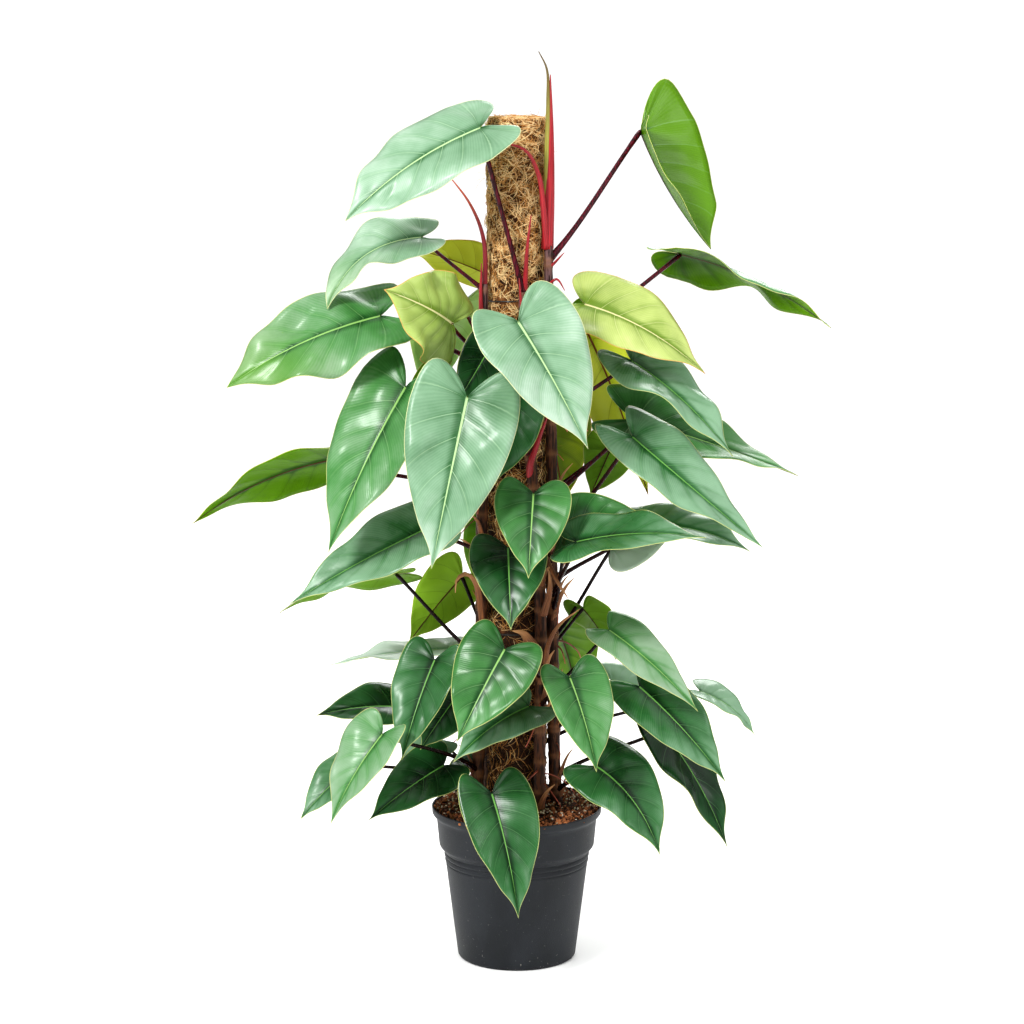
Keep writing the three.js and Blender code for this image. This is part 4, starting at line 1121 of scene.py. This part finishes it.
# %% Make the ties
wire_black = Finish("wire_black", {"Coat Weight": 0.3})
wire_noise = wire_black.noise(wire_black.place(), 600, 2)
wire_black.paint(wire_noise.mix((16, 16, 17), (40, 38, 36)), 0.3 + wire_noise * 0.3)
TIE_RADIUS = 40.6
TIE_STEPS, KNOT_STEPS = 120, 40


def make_tie(number, height):
    """A ring tube that dips and rises by 2 mm round the pole, closed on itself by overlapping ends, and
    two tubes twisted round each other that stick out to the right."""
    angle = np.linspace(0, 2 * math.pi * 1.02, TIE_STEPS)
    ring = polar(TIE_RADIUS + 0.5 * np.sin(5 * angle), angle, height + 2 * np.sin(angle + number))
    points, faces, _ = tubes(ring[None], np.full((1, TIE_STEPS), 0.85), UP, 8)
    w = np.linspace(0, 1, KNOT_STEPS)
    twist = 14 * w
    middle = np.stack([TIE_RADIUS + 0.9 + 9 * w, 0 * w - 4, height + 2 * w], -1)
    off_middle = 0.9 * np.stack([0 * w, np.cos(twist), np.sin(twist)], -1)
    knots, knot_faces, _ = tubes(np.stack([middle + off_middle, middle - off_middle]),
                                 np.full((2, KNOT_STEPS), 0.7), np.array([0, 0.3, 1.0]), 6)
    faces = np.concatenate([faces, knot_faces + len(points)])
    make_piece("tie_%d" % number, np.concatenate([points, knots]), faces, [wire_black],
               ["wire_tie_%d" % number])


for number, height in enumerate(TIE_HEIGHTS, start=1):
    make_tie(number, height)
tell_triangles("tie")

# %% [markdown]
# ## Soil
# The pot is filled to the rim with bark, peat and a little white perlite, heaped up to the pole. A bumpy
# disc alone looks like clay, so a few thousand chips and crumbs lie on it.

# %% Soil finishes
def earth_finish(name, dark, light, rough):
    """Dark and light by chip and by cloud."""
    finish = Finish(name, {"Specular IOR Level": 0.3})
    grain = finish.noise(finish.place(), 700, 4)
    tone = finish.value("chip") * 0.6 + grain * 0.7 - 0.2
    finish.paint(tone.rise(0.15, 0.9).mix(dark, light), rough, grain, 0.0015)
    return finish


peat = earth_finish("peat", (26, 14, 9), (84, 48, 28), 0.95)
bark = earth_finish("bark", (46, 22, 12), (186, 118, 74), 0.8)
perlite = earth_finish("perlite", (196, 178, 150), (244, 236, 220), 0.8)
print("finishes so far:", len(bpy.data.materials))

# %% Make the soil bed
POT_INSIDE = [(81.1, 5), (100.1, 155), (106.6, 162), (110.6, 203), (116.2, 208)]
SOIL_EDGE, SOIL_HEAP = 212.0, 13.0
POT_SEGMENTS = 144


def soil_height(radius, angle):
    """From the wall to the pole the soil rises by the heap, quickly at first. In front it is also heaped
    against the rim, on both sides of the middle."""
    heaped = 5.5 * bump(angle + 2.0, 0.5) + 4 * bump(angle + 0.9, 0.4)
    slope = soft_step(radius, 60, 104) * soft_step(radius, 117.5, 108)
    return SOIL_EDGE + SOIL_HEAP * (1 - np.clip((radius - 30) / 86, 0, 1) ** 1.6) + heaped * slope


wall = [(radius - 0.6, height) for radius, height in POT_INSIDE]
top_radius = np.linspace(116, 0, 56)
top = np.stack([top_radius, soil_height(top_radius, 3.0)], -1)
profile = np.concatenate([[(0, FLOOR_TOP), (80, FLOOR_TOP)], wall, top])
points, faces = turned(profile, POT_SEGMENTS)
on_top = points[:, 2] > SOIL_EDGE - 0.1
radius, angle = np.hypot(points[:, 0], points[:, 1]), np.arctan2(points[:, 1], points[:, 0])
heap = soil_height(radius, angle) - soil_height(radius, 3.0)
points[:, 2] += on_top * (heap + 2.2 * ripple(points, 22, 41) + 1.3 * ripple(points, 6, 42))
make_piece("soil_bed", points, faces, [peat], ["soil"],
           values={"chip": 0.4 + 0.3 * ripple(points, 8, 43)})
tell_triangles("soil_bed")


# %% Make the chips and crumbs
def icosahedron():
    """Twelve points on a sphere and the twenty triangles between them."""
    golden = (1 + math.sqrt(5)) / 2
    corners = np.array([(s, t * golden, 0) for s in (-1, 1) for t in (-1, 1)])
    points = unit(np.concatenate([np.roll(corners, k, axis=1) for k in range(3)]))
    near = np.linalg.norm(points[:, None] - points[None], axis=-1) < 1.1
    faces = np.array([(i, j, k) for i, j, k in itertools.combinations(range(12), 3)
                      if near[i, j] and near[j, k] and near[i, k]])
    a, b, c = points[faces.T]
    inward = (np.cross(b - a, c - a) * a).sum(axis=1) < 0
    faces[inward] = faces[inward][:, ::-1]
    return points, faces


def chips(places, sizes, seed):
    """An icosahedron at each place, its points moved at random, scaled by three sizes and turned at
    random. Returns points, faces and one random tone for each chip."""
    dice = np.random.default_rng(seed)
    ball, ball_faces = icosahedron()
    count = len(places)
    rough = ball[None] * dice.uniform(0.75, 1.2, (count, 12, 1))
    axes = unit(dice.normal(size=(count, 3)))
    second = unit(np.cross(axes, dice.normal(size=(count, 3))))
    turn = np.stack([axes, second, np.cross(axes, second)], axis=1)
    points = np.einsum("nij,njk->nik", rough * sizes[:, None], turn) + places[:, None]
    faces = ball_faces[None] + 12 * np.arange(count)[:, None, None]
    return points.reshape(-1, 3), faces.reshape(-1, 3), np.repeat(dice.uniform(0, 1, count), 12)


def on_soil(count, low, high, seed, lift):
    """Random places on the soil between two radii, lifted a little, and the dice that chose them."""
    dice = np.random.default_rng(seed)
    radius = np.sqrt(dice.uniform(low**2, high**2, count))
    angle = dice.uniform(-math.pi, math.pi, count)
    return polar(radius, angle, soil_height(radius, angle) + lift), dice


CHIPS, CRUMBS, SPECKS = 1250, 1700, 330
LEFT_HEAP, RIGHT_HEAP, ELSEWHERE = 190, 150, 120  # chips along the rim
RIM_CHIPS = LEFT_HEAP + RIGHT_HEAP + ELSEWHERE
places, dice = on_soil(CHIPS, 44, 114, 51, 2.0)
size = dice.uniform(1.8, 5.2, (CHIPS, 1)) * dice.uniform(0.35, 1, (CHIPS, 3))
crumb_places, dice = on_soil(CRUMBS, 42, 115, 53, 2.2)
crumb_size = dice.uniform(0.7, 1.9, (CRUMBS, 3))
rim_angle = np.concatenate([dice.normal(-1.95, 0.4, LEFT_HEAP), dice.normal(-0.95, 0.35, RIGHT_HEAP),
                            dice.uniform(-3.1, 3.1, ELSEWHERE)])
rim_radius = dice.uniform(103, 117.5, RIM_CHIPS)
rim_height = soil_height(rim_radius, rim_angle) + dice.uniform(1, 5, RIM_CHIPS)
rim = polar(rim_radius, rim_angle, rim_height)
rim_size = dice.uniform(1.8, 5.4, (RIM_CHIPS, 1)) * dice.uniform(0.4, 1, (RIM_CHIPS, 3))
points, faces, tone = chips(np.concatenate([places, crumb_places, rim]),
                            np.concatenate([size, crumb_size, rim_size]), 55)
make_piece("bark_chips", points, faces, [bark], values={"chip": tone}, smooth=False)
places, dice = on_soil(SPECKS, 46, 114, 57, 4.2)
points, faces, tone = chips(places, dice.uniform(0.8, 2.2, (SPECKS, 3)), 58)
make_piece("perlite_specks", points, faces, [perlite], values={"chip": tone}, smooth=False)
tell_triangles("bark_chips")

# %% [markdown]
# ## The pot
# A grower's pot is thin moulded plastic: a tapered wall, a few fine rings, a wide rim band and a rolled
# lip. All of it is one profile turned round the axis; the drain holes are dips in its underside.

# %% Pot finish
pot_plastic = Finish("pot_plastic", {"Specular IOR Level": 0.3})
dust = pot_plastic.noise(pot_plastic.place((1, 1, 0.6)), 20, 5)
grain = pot_plastic.noise(pot_plastic.place(), 700, 2)
specks = pot_plastic.noise(pot_plastic.place(), 260, 2).rise(0.68, 0.76)
low_dust = 1 - (pot_plastic.value("height") + dust * 0.05).rise(0.025, 0.07)
pot_base = (dust.rise(0.35, 0.7) * 0.55).mix((25, 28, 32), (42, 45, 50))
pot_base = (specks * (0.12 + low_dust * 0.5)).mix(pot_base, (150, 146, 138))
pot_plastic.paint(pot_base, 0.38 + dust * 0.24, grain * 0.6 + specks * 0.5, 0.0004)
print("finishes so far:", len(bpy.data.materials))

# %% Make the pot
POT_SIDE = np.array([(83.5, 5), (102.5, 155), (109, 162), (113, 203), (119, 208), (119.5, 218)])
POT_WALL = 2.4
DRAIN_HOLES, DRAIN_CIRCLE, DRAIN_RADIUS = 6, 58, 7.2
RINGS = (140.0, 148.0, 155.5)  # heights of the fine rings
heights = np.arange(5, 216.6, 0.8)
outside = np.interp(heights, POT_SIDE[:, 1], POT_SIDE[:, 0])
soft = np.convolve(np.pad(outside, 2, mode="edge"), np.ones(5) / 5, mode="valid")
for ring in RINGS:
    soft = soft + 0.7 * bump(heights - ring, 1.6) - 1.1 * bump(heights - ring + 3, 0.9)
kept = (np.abs(heights - RINGS[1]) < 14) | (np.arange(len(heights)) % 3 == 0)
inside_heights = np.arange(214, 6, -4.0)
inside = np.interp(inside_heights, POT_SIDE[:, 1], POT_SIDE[:, 0]) - POT_WALL
underside = np.linspace(0, 78, 40)
profile = np.concatenate([
    np.stack([underside, 0 * underside], -1),
    [(80.6, 0.5), (82.4, 1.6), (83.2, 3.2)],
    np.stack([soft[kept], heights[kept]], -1),
    [(119.5, 217.2), (119.1, 217.8), (118.3, 218), (117.6, 217.7), (117.1, 217)],
    np.stack([inside, inside_heights], -1),
    [(80.5, 3.6), (78, 3), (0, 3)],
])
points, faces = turned(profile, POT_SEGMENTS)
holes = around(360 * (np.arange(DRAIN_HOLES) + 0.5) / DRAIN_HOLES, DRAIN_CIRCLE, 0)
off_hole = np.linalg.norm(points[:, None, :2] - holes[None, :, :2], axis=-1).min(axis=1)
points[:, 2] += (points[:, 2] < 0.01) * 2.2 * np.clip((DRAIN_RADIUS - off_hole) / 1.2, 0, 1)
make_piece("pot_shell", points, faces, [pot_plastic], ["pot"],
           values={"height": points[:, 2] * MM})
tell_triangles("pot_shell")

# %% [markdown]
# ## The stake
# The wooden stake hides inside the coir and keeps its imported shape. It only gets a wood finish.

# %% Stake finish
stake_wood = Finish("stake_wood", {})
wood_grain = stake_wood.noise(stake_wood.place((1, 1, 0.06)), 300, 3)
stake_wood.paint(wood_grain.mix((120, 86, 52), (182, 142, 94)), 0.7)
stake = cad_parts["pole_stake"]
stake.data.materials.clear()
stake.data.materials.append(stake_wood.material)
print("finishes so far:", len(bpy.data.materials))

# %% [markdown]
# ## Floor, light and camera
# A plain white floor, soft light from a white sky that is brightest overhead, and three lamps: a strong
# one to the front left and above, a weak one to the right and a soft one behind. The camera is far away
# with a long lens and looks down a little, as in a catalogue picture.

# %% Floor
floor_mesh = bpy.data.meshes.new("floor")
half_floor = 300.0
corners = [(half_floor * x, half_floor * y, 0) for x, y in ((-1, -1), (1, -1), (1, 1), (-1, 1))]
floor_mesh.from_pydata(corners, [], [(0, 1, 2, 3)])
floor_white = Finish("floor_white", {"Specular IOR Level": 0.1})
floor_tone = floor_white.noise(floor_white.place(), 2, 1)
floor_white.paint(floor_tone.mix((246, 246, 246), (248, 248, 248)), 0.9)
floor_mesh.materials.append(floor_white.material)
add_object("floor", floor_mesh)

# %% Light
world = bpy.data.worlds.new("studio")
bpy.context.scene.world = world
world.use_nodes = True
nodes, links = world.node_tree.nodes, world.node_tree.links
coordinates = nodes.new("ShaderNodeTexCoord")
split = nodes.new("ShaderNodeSeparateXYZ")
height_range = nodes.new("ShaderNodeMapRange")
height_range.interpolation_type = "SMOOTHSTEP"
for key, value in {"From Min": 0.15, "From Max": 0.7, "To Min": 0.24, "To Max": 1.22}.items():
    height_range.inputs[key].default_value = value
links.new(coordinates.outputs["Generated"], split.inputs[0])
links.new(split.outputs["Z"], height_range.inputs["Value"])
links.new(height_range.outputs["Result"], nodes["Background"].inputs["Strength"])
nodes["Background"].inputs["Color"].default_value = (1, 1, 1, 1)


def make_lamp(name, place, aim, size, power):
    """A square lamp of the given size in metres that looks at a point on the pole's axis."""
    data = bpy.data.lights.new(name, "AREA")
    data.size = size
    data.energy = power
    lamp = add_object(name, data)
    lamp.location = place
    x, y, z = place
    lamp.rotation_euler = (math.atan2(math.hypot(x, y), z - aim), 0, math.atan2(x, -y))


make_lamp("key", (-1.7, -2.6, 2.9), 0.75, 0.7, 116)
make_lamp("fill", (2.4, -2.6, 2.0), 0.75, 1.4, 28)
make_lamp("rim", (0.6, 2.6, 2.4), 0.9, 1.6, 45)
bpy.context.scene.view_settings.view_transform = "Standard"
bpy.context.scene.view_settings.look = "Medium High Contrast"
print("lamps:", len(bpy.data.lights))

# %% Camera
LOOK_DOWN = 10.04  # degrees
camera_data = bpy.data.cameras.new("camera")
camera_data.sensor_width = 36
camera_data.lens = 108.2
camera = add_object("camera", camera_data)
camera.location = (-0.0066, -4.2, 1.38)
camera.rotation_euler = (math.radians(90 - LOOK_DOWN), 0, 0)
bpy.context.scene.camera = camera
print("camera at", tuple(camera.location), "with a lens of", camera_data.lens, "mm")

# %% [markdown]
# ## The number of triangles is printed, in all and in the largest piece.
# The dressed plant has to fill the same box as the imported part, so both boxes are written down.

# %% Count the triangles
print("triangles:", sum(triangles_made.values()), "most in one piece:", max(triangles_made.values()))
